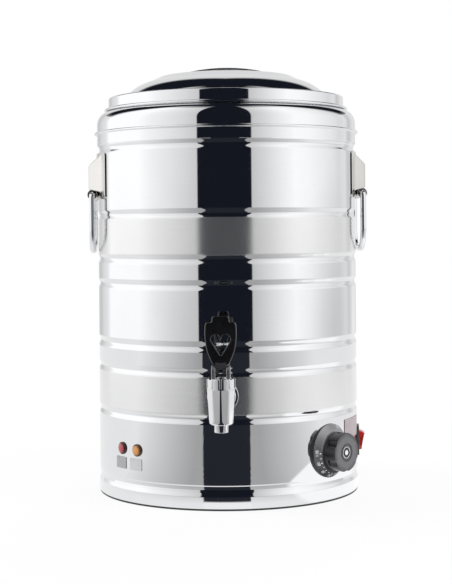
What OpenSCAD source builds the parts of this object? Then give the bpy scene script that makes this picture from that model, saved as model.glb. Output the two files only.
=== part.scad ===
// Insulated hot water urn: double-walled tank with a lift-off lid, a lever tap,
// two hanging ring handles and an electric heater under the tank.
// Origin on the body axis at the floor, +Z up, the tap towards -Y.

/* [Body] */
// Outer diameter of the shell
body_d = 330; // [320:1:380]
// Height of the shell between the base ring and the rim collar
shell_h = 409.5; // [390:0.5:480]
// Thickness of the stainless sheet
sheet_t = 1; // [0.8:0.1:1.2]
// Height of one rolled groove
groove_h = 10; // [6:0.5:12]
// Depth of one rolled groove
groove_depth = 2; // [1:0.1:2.5]
// Height of the middle of the groove pattern
pattern_z = 228.8; // [224:0.2:240]
// Spacing of the two middle grooves
mid_band = 72.2; // [60:0.2:76]
// Spacing of each middle groove and the next one
thin_band = 30.8; // [24:0.2:34]
// Height of each satin band, groove to groove
satin_band = 54.4; // [48:0.2:56]

/* [Base] */
// Height of the rubber foot ring
foot_h = 2; // [1.6:0.1:4]
// Radial width of the foot ring
foot_w = 7; // [4:0.5:8]
// Height of the base ring
base_h = 26.5; // [24:0.5:34]
// Height of the groove in the base ring
base_groove_h = 11; // [8:0.5:14]
// Width of the base ring's inward flange
base_flange_w = 20; // [18:0.5:26]
// How far the base ring and the collar overlap the shell at their joints
lap_h = 11; // [6:0.5:14]
// Number of screws in the bottom cover
bottom_screw_count = 6; // [3:1:10]
// Number of vent slots in the bottom cover
vent_count = 12; // [6:1:20]

/* [Rim] */
// Height of the rim collar
collar_h = 43.2; // [38:0.2:56]
// Radius step from the shell to the collar and the base ring
collar_over = 0.8; // [0.5:0.1:1.5]
// Width of the collar's rounded shoulder
shoulder_w = 15; // [8:0.5:15.5]
// Height of the collar's rounded shoulder
shoulder_h = 17; // [12:0.5:20]
// Height of the rim bead above the collar's lower edge
bead_rise = 15.3; // [12:0.1:20]
// How far the rim bead stands out of the collar
bead_out = 3.2; // [2:0.1:4]
// Height of the rim bead
bead_h = 2.6; // [2:0.1:4]

/* [Tank] */
// Distance from the shell's outside to the tank's inside
wall_w = 18; // [17:0.5:23]
// Height of the tank's floor above the ground
pot_floor_z = 110; // [108:0.5:114]
// Radius of the tank's bottom corner
pot_corner_r = 12; // [6:1:16]
// Width of the tank's lip on the collar
lip_w = 5; // [4:0.5:6]

/* [Heater] */
// Distance from the tank's wall to the edge of the cast heat plate
plate_inset = 52; // [47:1:67]
// Thickness of the cast heat plate
heat_plate_t = 12; // [9:0.5:14]
// Radius of the tubular element's ring
element_ring_r = 65; // [55:1:70]
// Diameter of the tubular element
element_d = 8; // [6:0.5:9]
// Distance between the two studs
stud_pitch = 70; // [50:1:80]
// Diameter of the studs
stud_d = 6; // [4:0.5:8]
// Distance from the tank's wall to the edge of the heat shield
shield_inset = 37; // [35:1:45]

/* [Tap] */
// Height of the tap's inlet above the tank's floor
tap_rise = 25.5; // [25.5:0.5:28]
// Distance from the shell to the tap's axis
tap_reach = 48; // [44:0.5:60]
// Length of the tap's barrel
barrel_h = 40.3; // [38:0.1:46]
// Diameter of the barrel at its bottom
barrel_low_d = 28; // [26:0.5:32]
// Diameter of the barrel at its top
barrel_top_d = 33; // [30:0.5:36]
// Number of flats round the barrel
flat_count = 10; // [8:1:12]
// Outer diameter of the nozzle
nozzle_d = 16.4; // [14:0.2:20]
// Length of the nozzle below the barrel
nozzle_h = 8.9; // [6:0.1:14]
// Diameter of the nozzle's bore
nozzle_bore = 12; // [8:0.5:12]
// Diameter of the tap's inlet tube
inlet_d = 18; // [15:0.5:19]
// Diameter of the round flange
tap_flange_d = 37; // [34:0.5:42]
// Height of the castellated collar
bonnet_h = 12.3; // [10:0.1:16]
// Distance between the two posts
post_gap = 12.6; // [10:0.1:14]
// Thickness of each post
post_t = 4.5; // [3:0.1:5]
// Height of the lever's pivot above the collar
pivot_rise = 7.9; // [7.9:0.1:9]
// Diameter of the lever's pin
pin_d = 4; // [3:0.1:4]
// Height of the lever's plate
lever_h = 55.3; // [46:0.1:60]
// Width of the lever's plate at its widest
lever_w = 36.5; // [30:0.5:44]
// Thickness of the lever's plate
lever_t = 9; // [6:0.5:10]
// Lift of the stem from shut to open
stem_lift = 4.5; // [3:0.1:4.5]

/* [Controls] */
// Height of the thermostat's axis
dial_z = 62; // [60:0.5:64]
// Angle from the tap to the thermostat
dial_angle = 50; // [46:0.5:50.5]
// Diameter of the thermostat's dial
dial_d = 65; // [60:0.5:66]
// Height of the dial off the shell
dial_h = 8.5; // [7:0.5:12]
// Diameter of the thermostat's knob
knob_d = 46.5; // [40:0.1:52]
// Height of the knob's face off the shell
knob_face = 26; // [24:0.5:32]
// Diameter of the knob's shaft
shaft_d = 6; // [5:0.5:7]
// Height of the lamps
lamp_z = 66; // [62:0.5:70]
// Angle from the tap to the red lamp
red_lamp_angle = -49.2; // [-52:0.1:-47]
// Angle from the tap to the amber lamp
amber_lamp_angle = -39.6; // [-41:0.1:-37]
// Diameter of a lamp's rim
lamp_d = 15; // [13:0.5:18]
// Angle from a lamp to the label under it
label_turn = -1; // [-2:0.1:1]
// Height of the labels
label_z = 48.5; // [44:0.5:50]
// Width of a label
label_w = 20; // [14:0.5:22]
// Height of a label
label_h = 14; // [10:0.5:15]
// Angle from the tap to the switch
switch_angle = 87; // [87:0.5:92]
// Height of the switch
switch_z = 61; // [58:0.5:64]
// Width of the switch's frame
switch_w = 27; // [24:0.5:28]
// Height of the switch's frame
switch_h = 37; // [34:0.5:40]
// Tilt of the rocker to each side
rocker_tilt = 11; // [6:0.5:12]
// Angle from the tap to the blank plate
blank_angle = 71; // [70.5:0.5:72.5]
// Height of the blank plate's middle
blank_z = 83; // [80:0.5:88]
// Width of the blank plate
blank_w = 52; // [40:1:54]
// Height of the blank plate
blank_h = 24.5; // [16:0.5:28]

/* [Handles] */
// Angle that both handles are turned round the body
handle_turn = 5; // [-15:0.5:15]
// Half the angle that a bracket's plate spans
plate_half_angle = 22.5; // [20:0.5:26]
// Height of a bracket's plate
plate_h = 58; // [54:0.5:66]
// Thickness of the bracket's sheet
plate_t = 1.5; // [1.2:0.1:2]
// Diameter of the ring's rod
rod_d = 7.5; // [6:0.1:8]
// Distance between the ring's two legs
ring_w = 82; // [78:0.5:90]
// Height of the ring, rod middle to rod middle
ring_h = 70.5; // [58:0.5:80]
// Radius of the ring's lower corners
ring_low_r = 27; // [20:0.5:32]
// Radius of the ring's upper corners
ring_top_r = 5; // [4.5:0.1:6]

/* [Lid] */
// How far the lid's skirt stands out past the tank's inside
skirt_over = 3.8; // [3.3:0.1:4.6]
// Height of the lid's skirt above its bead
skirt_h = 15.6; // [12:0.2:20]
// Radius of the lid's rolled bead
lid_bead_r = 1.8; // [1.6:0.1:1.9]
// Width of the ledge between the skirt and the dome
ledge_w = 20.8; // [15:0.2:24.8]
// Height of the dome's shoulder above the skirt
dome_h = 21.3; // [16:0.1:26]
// Height of the crown above the dome's shoulder
crown_h = 6.7; // [4:0.1:8]
// Width of the dome between its foot and the crown's edge
dome_w = 33; // [28:0.5:40]
// Radius of the finger dish
dish_r = 52; // [44:0.5:56]
// Depth of the finger dish
dish_depth = 18.5; // [14:0.5:20]
// Height of the handle's top above the crown
handle_rise = 10.8; // [9:0.1:16]
// Width of the handle's strap
handle_w = 24; // [18:0.5:30]
// Thickness of the handle's strap
handle_t = 2.5; // [2:0.1:3]
// Depth of the lid's plug in the tank
plug_h = 12.3; // [8:0.1:20]

/* [Hidden] */
$fn = 96;

// Named clearances
fit = 0.3; // nested curved faces
near = 0.2; // a piece that lies on a curved face
run = 0.05; // a shaft in its bore
cut = 1; // how far a cutter passes a face
deep = 3; // how far a cutter passes a curved wall
arc_n = 5; // steps in a short arc

// Levels and radii that several pieces share
body_r = body_d / 2;
shell_in = body_r - sheet_t;
shell_z = foot_h + base_h;
joint_z = shell_z + shell_h;
collar_z = joint_z + fit;
collar_top = collar_z + collar_h;
collar_r = body_r + collar_over;
neck_r = collar_r - sheet_t - fit;
spigot_r = shell_in - fit;
flange_in = collar_r - base_flange_w;
cover_z = foot_h + sheet_t;
cover_top = cover_z + sheet_t;
pot_r = body_r - wall_w;
pot_out = pot_r + sheet_t;
pot_under = pot_floor_z - sheet_t;
wall_foam_r = body_r - groove_depth - sheet_t - fit;
tap_z = pot_floor_z + tap_rise;
heat_plate_r = pot_r - plate_inset;
shield_r = pot_r - shield_inset;
skirt_r = pot_r + skirt_over;
dome_r = skirt_r - ledge_w;
crown_r = dome_r - dome_w;

groove_z = [
  pattern_z - mid_band / 2 - thin_band - satin_band,
  pattern_z - mid_band / 2 - thin_band,
  pattern_z - mid_band / 2,
  pattern_z + mid_band / 2,
  pattern_z + mid_band / 2 + thin_band,
  pattern_z + mid_band / 2 + thin_band + satin_band,
  joint_z - groove_h / 2
];

// ---------- Helpers ----------

// Depth of a rolled groove of height h and depth d, at the height u from its middle
function dip(u, h, d) = let (q = (h * h / 4 + d * d) / (2 * d)) sqrt(q * q - u * u) - (q - d);

// Points of an elliptical arc round (x, z)
function arc(x, z, rx, rz, from, to, n = arc_n) =
  [for (i = [0:n]) let (a = from + (to - from) * i / n) [x + rx * cos(a), z + rz * sin(a)]];

// The same path moved by v and walked backwards
function back(path, v) = [for (i = [len(path) - 1:-1:0]) path[i] + v];

function unit(v) = v / norm(v);
function heading(p, i) = unit(p[min(i + 1, len(p) - 1)] - p[max(i - 1, 0)]);

// A pair of cross axes at each point of path p, carried along it without twist
function frames(p, u, i = 0) = i == len(p) ? [] :
  let (t = heading(p, i), s = unit(u - (u * t) * t)) concat([[s, cross(t, s)]], frames(p, s, i + 1));

// The point at the radius r, the angle a from the tap and the height z
function around(r, a, z) = [r * sin(a), -r * cos(a), z];

module lathe(points) rotate_extrude() polygon(points);

// Local frame on the shell: x to the right, y up, z outwards from the body's axis
module on_shell(angle, z) {
  rotate([0, 0, angle]) translate([0, 0, z]) rotate([90, 0, 0]) children();
}

// Plain bar between two heights of the local z axis
module bar(d, low, high) translate([0, 0, low]) cylinder(d = d, h = high - low);

module block(w, h, low, high) translate([-w / 2, -h / 2, low]) cube([w, h, high - low]);

module hex_bar(across, low, high) {
  translate([0, 0, low]) cylinder(d = across / cos(30), h = high - low, $fn = 6);
}

// Everything inside the radius r, for cutting a seat that lies on a curved wall
module inside(r, low, high) translate([0, 0, low]) cylinder(r = r, h = high - low, $fn = 480);

module ring_wall(r_in, r_out, low, high) {
  difference() {
    inside(r_out, low, high);
    inside(r_in, low - cut, high + cut);
  }
}

// Thin round tube along a path
module tube(path, r, up, sides = 8) {
  f = frames(path, up);
  last = len(path) - 1;
  polyhedron(
    points = [for (i = [0:last]) for (k = [0:sides - 1]) let (a = -360 * k / sides)
      path[i] + r * (cos(a) * f[i][0] + sin(a) * f[i][1])],
    faces = concat(
      [[for (k = [sides - 1:-1:0]) k]],
      [for (i = [0:last - 1]) for (k = [0:sides - 1]) let (n = (k + 1) % sides)
        [i * sides + k, i * sides + n, (i + 1) * sides + n, (i + 1) * sides + k]],
      [[for (k = [0:sides - 1]) last * sides + k]]
    ),
    convexity = 6
  );
}

// Greatest distance from the axis of a flat seat that clears the wall r over the half width w
function flat_seat(r, w) = sqrt(r * r - w * w);

// ---------- Base ----------

base_groove_z = shell_z - base_groove_h / 2;
base_groove_d = collar_r - spigot_r;
base_screw_edge = 6;
base_screw_r = flange_in + base_screw_edge;
base_screw_d = 3.2;
base_screw_head_d = 6.4;
base_screw_head_h = min(1.4, foot_h - near);
cover_lap = 11;
cover_r = flange_in + cover_lap;

module foot_ring() {
  color("#18181a")
    lathe([[body_r - foot_w, 0], [body_r, 0], [body_r, foot_h], [body_r - foot_w, foot_h]]);
}

module base_ring() {
  outer = concat(
    [[collar_r, foot_h]],
    [for (i = [-arc_n:0]) let (u = i * base_groove_h / 2 / arc_n)
      [collar_r - dip(u, base_groove_h, base_groove_d), base_groove_z + u]],
    [[spigot_r, shell_z + lap_h]]
  );
  inner = [for (i = [len(outer) - 1:-1:1]) outer[i] - [sheet_t, 0]];
  color("#d6d8db")
    difference() {
      lathe(concat(outer, inner, [
        [collar_r - sheet_t, foot_h + sheet_t], [flange_in, foot_h + sheet_t], [flange_in, foot_h]
      ]));
      base_screw_holes();
    }
}

module base_screw_holes() {
  for (i = [0:bottom_screw_count - 1])
    rotate([0, 0, 360 * (i + 0.5) / bottom_screw_count])
      translate([base_screw_r, 0, 0]) bar(base_screw_d + 2 * run, foot_h - cut, cover_top + cut);
}

module bottom_cover() {
  slot_w = 3;
  slot_h = 24;
  slot_inset = 57;
  slot_r = cover_r - slot_inset;
  color("#b9bcc0")
    difference() {
      bar(2 * cover_r, cover_z, cover_top);
      base_screw_holes();
      for (i = [0:vent_count - 1])
        rotate([0, 0, 360 * i / vent_count])
          translate([slot_r, 0, 0]) block(slot_h, slot_w, cover_z - cut, cover_top + cut);
      translate([earth_x, earth_y, 0]) bar(earth_d + 2 * run, cover_z - cut, cover_top + cut);
    }
}

module bottom_screws() {
  shank_h = 7;
  color("#c9ccd0")
    for (i = [0:bottom_screw_count - 1])
      rotate([0, 0, 360 * (i + 0.5) / bottom_screw_count])
        translate([base_screw_r, 0, foot_h]) {
          bar(base_screw_head_d, -base_screw_head_h, 0);
          bar(base_screw_d, -base_screw_head_h, shank_h);
        }
}

// ---------- Walls ----------

module outer_shell() {
  outer = concat(
    [[body_r, shell_z]],
    [for (g = groove_z) for (i = [-arc_n:arc_n]) let (u = i * groove_h / 2 / arc_n)
      [body_r - dip(u, groove_h, groove_depth), g + u]],
    [[neck_r, joint_z], [neck_r, joint_z + lap_h]]
  );
  color("#dfe1e4")
    difference() {
      lathe(concat(outer, back(outer, [-sheet_t, 0])));
      on_shell(0, tap_z) bar(inlet_d + 4 * near, shell_in - cut, body_r + cut);
      on_shell(dial_angle, dial_z) {
        bar(bushing_d + 2 * near, shell_in - cut, body_r + cut);
        for (s = [-1, 1])
          translate([s * dial_screw_x, 0, 0]) bar(dial_screw_d + 2 * near, shell_in - deep, body_r + cut);
      }
      for (a = [red_lamp_angle, amber_lamp_angle])
        on_shell(a, lamp_z) bar(lamp_barrel_d + 2 * near, shell_in - deep, body_r + cut);
      on_shell(switch_angle, switch_z)
        block(switch_body_w + 2 * near, switch_body_h + 2 * near, shell_in - deep, body_r + cut);
      on_shell(inlet_angle, inlet_z) {
        block(socket_w + 2 * near, socket_h + 2 * near, shell_in - deep, body_r + cut);
        for (s = [-1, 1])
          translate([s * inlet_screw_x, 0, 0]) bar(inlet_screw_d + 2 * near, shell_in - deep, body_r + cut);
      }
    }
}

module rim_collar() {
  shoulder_x = collar_r - shoulder_w;
  shoulder_z = collar_top - shoulder_h;
  hole_r = pot_out + fit;
  bead_z = collar_z + bead_rise;
  color("#e2e4e7")
    lathe(concat(
      [[collar_r, collar_z]],
      arc(collar_r, bead_z, bead_out, bead_h / 2, -90, 90, 8),
      arc(shoulder_x, shoulder_z, shoulder_w, shoulder_h, 0, 90, 10),
      [[hole_r, collar_top], [hole_r, collar_top - sheet_t]],
      arc(shoulder_x, shoulder_z, shoulder_w - sheet_t, shoulder_h - sheet_t, 90, 0, 10),
      [[collar_r - sheet_t, collar_z]]
    ));
}

module inner_pot() {
  corner_x = pot_out - pot_corner_r;
  corner_z = pot_under + pot_corner_r;
  inner_corner_r = pot_corner_r - sheet_t;
  color("#cfd2d6")
    difference() {
      union() {
        lathe(concat(
          [[0, pot_under]],
          arc(corner_x, corner_z, pot_corner_r, pot_corner_r, -90, 0, 8),
          [[pot_out, collar_top], [pot_r + lip_w, collar_top],
           [pot_r + lip_w, collar_top + sheet_t], [pot_r, collar_top + sheet_t]],
          arc(corner_x, corner_z, inner_corner_r, inner_corner_r, 0, -90, 8),
          [[0, pot_floor_z]]
        ));
        for (s = [-1, 1])
          translate([s * stud_pitch / 2, 0, 0]) bar(stud_d, stud_end_z, pot_under + sheet_t / 2);
        on_cutout()
          for (s = [-1, 1])
            translate([s * cutout_screw_x, 0, 0])
              difference() {
                bar(boss_d, pot_under - boss_h, pot_under + sheet_t / 2);
                bar(boss_bore_d, pot_under - boss_h - cut, pot_under - sheet_t);
              }
      }
      on_shell(0, tap_z) bar(inlet_d + 4 * near, pot_r - deep, pot_out + cut);
    }
}

module insulation() {
  foam_gap = 2;
  top = collar_top - shoulder_h - foam_gap;
  color("#e8e2c8")
    difference() {
      lathe([
        [pot_out + fit, pot_under + pot_corner_r], [wall_foam_r, pot_under + pot_corner_r],
        [wall_foam_r, top], [pot_out + fit, top]
      ]);
      on_shell(0, tap_z) bar(inlet_d + 2 * foam_gap, pot_r, body_r);
    }
}

// ---------- Heater ----------

element_z = pot_under - heat_plate_t;
clamp_t = 3;
clamp_top = element_z - element_d / 2;
nut_h = 5;
shield_top = clamp_top - clamp_t - nut_h;
thread_out = 2;
stud_end_z = shield_top - sheet_t - nut_h - thread_out;
nut_over = 5;
nut_across = stud_d + nut_over;
terminal_x = 10;
terminal_y = -sqrt(element_ring_r * element_ring_r - terminal_x * terminal_x);
terminal_d = 5;
terminal_drop = 14;
terminal_end_z = shield_top - terminal_drop;

module at_studs() for (s = [-1, 1]) translate([s * stud_pitch / 2, 0, 0]) children();

module heat_plate() {
  color("#a9abae")
    difference() {
      bar(2 * heat_plate_r, element_z, pot_under);
      rotate_extrude() translate([element_ring_r, element_z]) circle(d = element_d + 2 * near, $fn = 32);
      at_studs() bar(stud_d + 2 * near, element_z - cut, pot_under + cut);
    }
}

module heating_element() {
  color("#6f6a66") {
    rotate_extrude() translate([element_ring_r, element_z]) circle(d = element_d, $fn = 32);
    for (s = [-1, 1])
      translate([s * terminal_x, terminal_y, 0]) bar(terminal_d, terminal_end_z, element_z);
  }
}

module element_clamp() {
  clamp_w = 20;
  clamp_over = 10;
  color("#9da0a4")
    difference() {
      block(2 * element_ring_r + element_d + clamp_over, clamp_w, clamp_top - clamp_t, clamp_top);
      at_studs() bar(stud_d + 2 * near, clamp_top - clamp_t - cut, clamp_top + cut);
    }
}

// One nut on each stud under the clamp and one under the shield
module stud_nuts() {
  color("#c8cacd")
    for (low = [shield_top, shield_top - sheet_t - nut_h])
      at_studs() difference() {
        hex_bar(nut_across, low, low + nut_h);
        bar(stud_d + 2 * run, low - cut, low + nut_h + cut);
      }
}

module heat_shield() {
  rim_h = 8;
  terminal_gap = 3;
  color("#bcbfc3")
    difference() {
      union() {
        bar(2 * shield_r, shield_top - sheet_t, shield_top);
        ring_wall(shield_r - sheet_t, shield_r, shield_top - sheet_t, shield_top + rim_h);
      }
      at_studs() bar(stud_d + 2 * near, shield_top - sheet_t - cut, shield_top + cut);
      for (s = [-1, 1])
        translate([s * terminal_x, terminal_y, 0])
          bar(terminal_d + 2 * terminal_gap, shield_top - sheet_t - cut, shield_top + cut);
    }
}

// ---------- Thermal cut-out ----------

cutout_angle = -60;
cutout_inset = 27;
cutout_r = pot_r - cutout_inset;
cutout_screw_x = 11;
cutout_d = 14;
boss_d = 6;
boss_h = 6;
boss_bore_d = 3;
ear_t = 1;
spade_t = 0.8;
spade_w = 6;
spade_h = 7;

module on_cutout() rotate([0, 0, cutout_angle]) translate([0, cutout_r, 0]) children();

module thermal_cutout() {
  ear_z = pot_under - boss_h;
  can_h = 6;
  spade_x = 4;
  body_low = ear_z - can_h;
  color("#2b2b2e")
    on_cutout() difference() {
      union() {
        bar(cutout_d, body_low, pot_under);
        block(2 * cutout_screw_x + boss_d, boss_d + 2 * near, ear_z - ear_t, ear_z);
        for (s = [-1, 1])
          translate([s * spade_x, 0, 0]) block(spade_t, spade_w, body_low - spade_h, body_low);
      }
      for (s = [-1, 1])
        translate([s * cutout_screw_x, 0, 0]) bar(boss_bore_d + 2 * near, ear_z - ear_t - cut, ear_z + cut);
    }
}

module cutout_screws() {
  head_h = 1.6;
  seat_z = pot_under - boss_h - ear_t;
  color("#c9ccd0")
    on_cutout() for (s = [-1, 1])
      translate([s * cutout_screw_x, 0, 0]) {
        bar(boss_d - 2 * near, seat_z - head_h, seat_z);
        bar(boss_bore_d - 2 * run, seat_z - head_h, seat_z + ear_t + boss_h - 2 * sheet_t);
      }
}

// ---------- Thermostat ----------

bushing_d = 11.6;
dial_screw_x = 12;
dial_screw_d = 3.6;
dial_face = body_r + dial_h;
dial_bevel = 6.5;
dial_face_d = dial_d - 2 * dial_bevel;
bushing_sunk = 3;
bushing_top = dial_face - bushing_sunk;
dial_head_d = 6.4;
dial_head_h = 2;
dial_head_sunk = 0.4;
dial_head_top = dial_face - dial_head_sunk;
thread_h = 10;
tab_x = 9;
body_half_w = 20;
body_half_h = 18;
body_depth = 28;
body_front = flat_seat(shell_in, body_half_w) - fit;
bulb_d = 6;
bulb_gap = 10;
bulb_y = heat_plate_r + bulb_d / 2 + bulb_gap;
bulb_z = pot_under - bulb_d / 2 - near;
bulb_half = 30;
capillary_r = 0.8;
cap_d = 14;
cap_t = 1.2;

module dial_frame() on_shell(dial_angle, dial_z) children();

// A screw's place in the dial, as a child cutter or screw
module at_dial_screws() for (s = [-1, 1]) translate([s * dial_screw_x, 0, 0]) children();

module thermostat_body() {
  bore_h = 18;
  color("#3a3a3d")
    dial_frame() difference() {
      union() {
        block(2 * body_half_w, 2 * body_half_h, body_front - body_depth, body_front);
        bar(bushing_d, body_front - cut, bushing_top);
        for (s = [-1, 1])
          translate([s * tab_x, 0, 0])
            block(spade_t, spade_w, body_front - body_depth - spade_h, body_front - body_depth);
      }
      bar(shaft_d + 2 * run, body_front - bore_h, dial_face);
      at_dial_screws() bar(dial_screw_d, body_front - thread_h, body_front + cut);
    }
}

module thermostat_screws() {
  color("#c9ccd0")
    dial_frame() at_dial_screws() {
      bar(dial_head_d, dial_head_top - dial_head_h, dial_head_top);
      bar(dial_screw_d - 2 * run, body_front - thread_h + cut, dial_head_top);
    }
}

module thermostat_bezel() {
  rim = 1;
  shaft_gap = 1.5;
  color("#222326")
    dial_frame() difference() {
      union() {
        bar(dial_d, flat_seat(body_r, dial_d / 2) - cut, body_r + rim);
        translate([0, 0, body_r + rim]) cylinder(d1 = dial_d, d2 = dial_face_d, h = dial_h - rim);
      }
      translate([0, -dial_d, 0]) rotate([-90, 0, 0]) inside(body_r + near, 0, 2 * dial_d);
      bar(bushing_d + 2 * near, body_r - deep, bushing_top + near);
      bar(shaft_d + 2 * shaft_gap, body_r, dial_face + cut);
      at_dial_screws() {
        bar(dial_screw_d + 2 * near, body_r - deep, dial_face + cut);
        bar(dial_head_d + 2 * near, dial_head_top - dial_head_h, dial_face + cut);
      }
    }
}

module thermostat_knob() {
  back_z = dial_face + near;
  front_z = body_r + knob_face;
  grip_count = 6;
  grip_r = 10;
  grip_in = 1.6;
  skirt = 5;
  edge = 1.5;
  shaft_in = 15;
  color("#2c2d30")
    dial_frame() difference() {
      union() {
        bar(knob_d, back_z, front_z - edge);
        translate([0, 0, front_z - edge]) cylinder(d1 = knob_d, d2 = knob_d - 2 * edge, h = edge);
        bar(shaft_d, body_front - shaft_in, back_z + cut);
      }
      for (i = [0:grip_count - 1])
        rotate([0, 0, 360 * (i + 0.5) / grip_count])
          translate([knob_d / 2 + grip_r - grip_in, 0, 0]) bar(2 * grip_r, back_z + skirt, front_z + cut);
      bar(cap_d + 2 * run, front_z - cap_t, front_z + cut);
    }
}

module knob_cap() {
  front_z = body_r + knob_face;
  groove_w = 1.5;
  groove_in = 0.4;
  color("#c4c6c9")
    dial_frame() difference() {
      bar(cap_d, front_z - cap_t, front_z);
      difference() {
        bar(cap_d - 2 * groove_w, front_z - groove_in, front_z + cut);
        bar(cap_d - 4 * groove_w, front_z - cut, front_z + 2 * cut);
      }
    }
}

module thermostat_bulb() {
  color("#b87333")
    translate([-bulb_half, bulb_y, bulb_z]) rotate([0, 90, 0]) cylinder(d = bulb_d, h = 2 * bulb_half);
}

module bulb_clip() {
  clip_w = 12;
  wall = 0.8;
  half = bulb_d / 2 + near + wall;
  low = bulb_z - half;
  color("#c3c6c9")
    difference() {
      translate([-clip_w / 2, bulb_y - half, low]) cube([clip_w, 2 * half, pot_under - low]);
      translate([-clip_w, bulb_y - half + wall, low + wall])
        cube([2 * clip_w, 2 * (half - wall), pot_under - low]);
    }
}

capillary_end = around(body_front - body_depth / 2, dial_angle, dial_z + body_half_h + near / 2);

// Thin tube from the bulb round the tank's edge down to the thermostat
module capillary() {
  bow = 14;
  bow_r = pot_r - bow;
  from = 130;
  to = dial_angle + 6;
  fall = 5;
  straight = 3;
  high = bulb_z - fall;
  low = capillary_end[2] + straight;
  color("#b87333")
    tube(concat(
      [[bulb_half + near / 2, bulb_y, bulb_z],
       [bulb_half + bow, bulb_y - capillary_r, bulb_z - capillary_r]],
      [for (i = [0:arc_n]) let (t = i / arc_n)
        around(bow_r + bow / 2 * t, from + (to - from) * t, high + (low - high) * t)],
      [capillary_end + [0, 0, straight / 2], capillary_end]
    ), capillary_r, [0, 0, 1]);
}

// ---------- Wiring ----------

block_y = 55;
block_w = 40;
block_d = 20;
block_h = 18;
block_top = cover_top + block_h;
way_d = 5;
way_depth = 6;
ways = [-12, 0, 12];
earth_x = -55;
earth_y = 60;
earth_d = 5;
earth_h = 16;
earth_nut_h = 4;
earth_nut_over = 4;
earth_across = earth_d + earth_nut_over;
wire_r = 1.2;
lead_straight = 10; // straight run of a lead at its ends
wire_z = cover_top + block_h / 2;
inlet_angle = 180;
inlet_z = 60;

module terminal_block() {
  color("#e9e7df")
    difference() {
      translate([0, block_y, 0]) block(block_w, block_d, cover_top, block_top);
      for (x = ways) translate([x, block_y, 0]) bar(way_d, block_top - way_depth, block_top + cut);
    }
}

module terminal_screws() {
  head_h = 4;
  slot_w = 0.8;
  low = block_top - way_depth;
  color("#c9a24a")
    for (x = ways)
      translate([x, block_y, 0]) difference() {
        bar(way_d - 2 * near, low, low + head_h);
        block(way_d + cut, slot_w, low + head_h - cut, block_top);
      }
}

// Stud through the bottom cover with two nuts
module earth_stud() {
  color("#c9a24a")
    translate([earth_x, earth_y, 0]) {
      bar(earth_d, cover_z, cover_top + earth_h);
      for (n = [0, 2])
        hex_bar(earth_across, cover_top + n * earth_nut_h, cover_top + (n + 1) * earth_nut_h);
    }
}

// Three leads from the inlet to the terminal block and one to the earth stud
module supply_wires() {
  inlet_y = inlet_back - near / 2;
  face_y = block_y + block_d / 2 + near / 2;
  earth_top = cover_top + earth_h + near / 2;
  lead_x = -socket_w / 2 + pin_w;
  lead_z = inlet_z - pin_h;
  swing = 14;
  color("#7a4b2a")
    for (x = ways / 2)
      tube([
        [x, inlet_y, inlet_z], [x, inlet_y - lead_straight, inlet_z],
        [1.5 * x, inlet_y - lead_straight - swing, inlet_z - swing],
        [2 * x, face_y + lead_straight + swing, wire_z + swing],
        [2 * x, face_y + lead_straight, wire_z], [2 * x, face_y, wire_z]
      ], wire_r, [1, 0, 0]);
  color("#3f8a4a")
    tube([
      [earth_x, earth_y, earth_top], [earth_x, earth_y, earth_top + lead_straight],
      [earth_x + lead_straight, earth_y + swing, earth_top + swing],
      [2 * lead_x, inlet_y - 2 * swing, lead_z - lead_straight],
      [lead_x, inlet_y - lead_straight, lead_z], [lead_x, inlet_y, lead_z]
    ], wire_r, [1, 0, 0]);
}

// Leads from the terminal block to the element, the thermostat, the switch and the lamps
module control_wires() {
  face_y = block_y - block_d / 2 - near / 2;
  out_y = face_y - lead_straight;
  slack = 30;
  rise = 10;
  dial_in = body_front - body_depth - spade_h - near / 2;
  dial_side = tab_x * [cos(dial_angle), sin(dial_angle), 0];
  switch_in = switch_back - near / 2;
  switch_drop = 6;
  lamp_in = lamp_back - near / 2;
  element_x = 8;
  dial_x = 13;
  switch_x = 17.5;
  lamp_x = [-17.5, -13.5];
  lamp_angle = [red_lamp_angle, amber_lamp_angle];
  color("#b03a32") {
    for (s = [-1, 1])
      tube([
        [s * element_x, face_y, wire_z], [s * element_x, out_y, wire_z],
        [s * (element_x + wire_r), -2 * rise, wire_z + rise],
        [s * terminal_x, terminal_y, terminal_end_z - slack / 2],
        [s * terminal_x, terminal_y, terminal_end_z - near / 2]
      ], wire_r, [1, 0, 0]);
    tube([
      [dial_x, face_y, wire_z], [dial_x, out_y, wire_z], around(dial_in / 2, dial_angle, wire_z + rise),
      around(dial_in - slack, dial_angle, dial_z) + dial_side,
      around(dial_in, dial_angle, dial_z) + dial_side
    ], wire_r, [0, 0, 1]);
    tube([
      [switch_x, face_y, wire_z], [switch_x, out_y, wire_z],
      around(switch_in - slack, switch_angle, switch_z - switch_drop),
      around(switch_in, switch_angle, switch_z - switch_drop)
    ], wire_r, [0, 0, 1]);
    for (i = [0, 1])
      tube([
        [lamp_x[i], face_y, wire_z], [lamp_x[i], out_y, wire_z],
        around(lamp_in - slack, lamp_angle[i], lamp_z), around(lamp_in, lamp_angle[i], lamp_z)
      ], wire_r, [0, 0, 1]);
  }
}

// ---------- Lamps and plates ----------

lamp_barrel_d = 12;
lamp_depth = 24;
lamp_back = body_r - lamp_depth;
lamp_rim_h = 1.6;
lamp_rim_w = 1;
lamp_mouth_d = lamp_barrel_d - 2 * lamp_rim_w;
lamp_mouth_depth = 8;
lamp_mouth_z = body_r - lamp_mouth_depth;
lamp_nut_across = lamp_barrel_d + nut_over;
label_t = 0.5;

module at_lamps() for (a = [red_lamp_angle, amber_lamp_angle]) on_shell(a, lamp_z) children();

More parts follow.
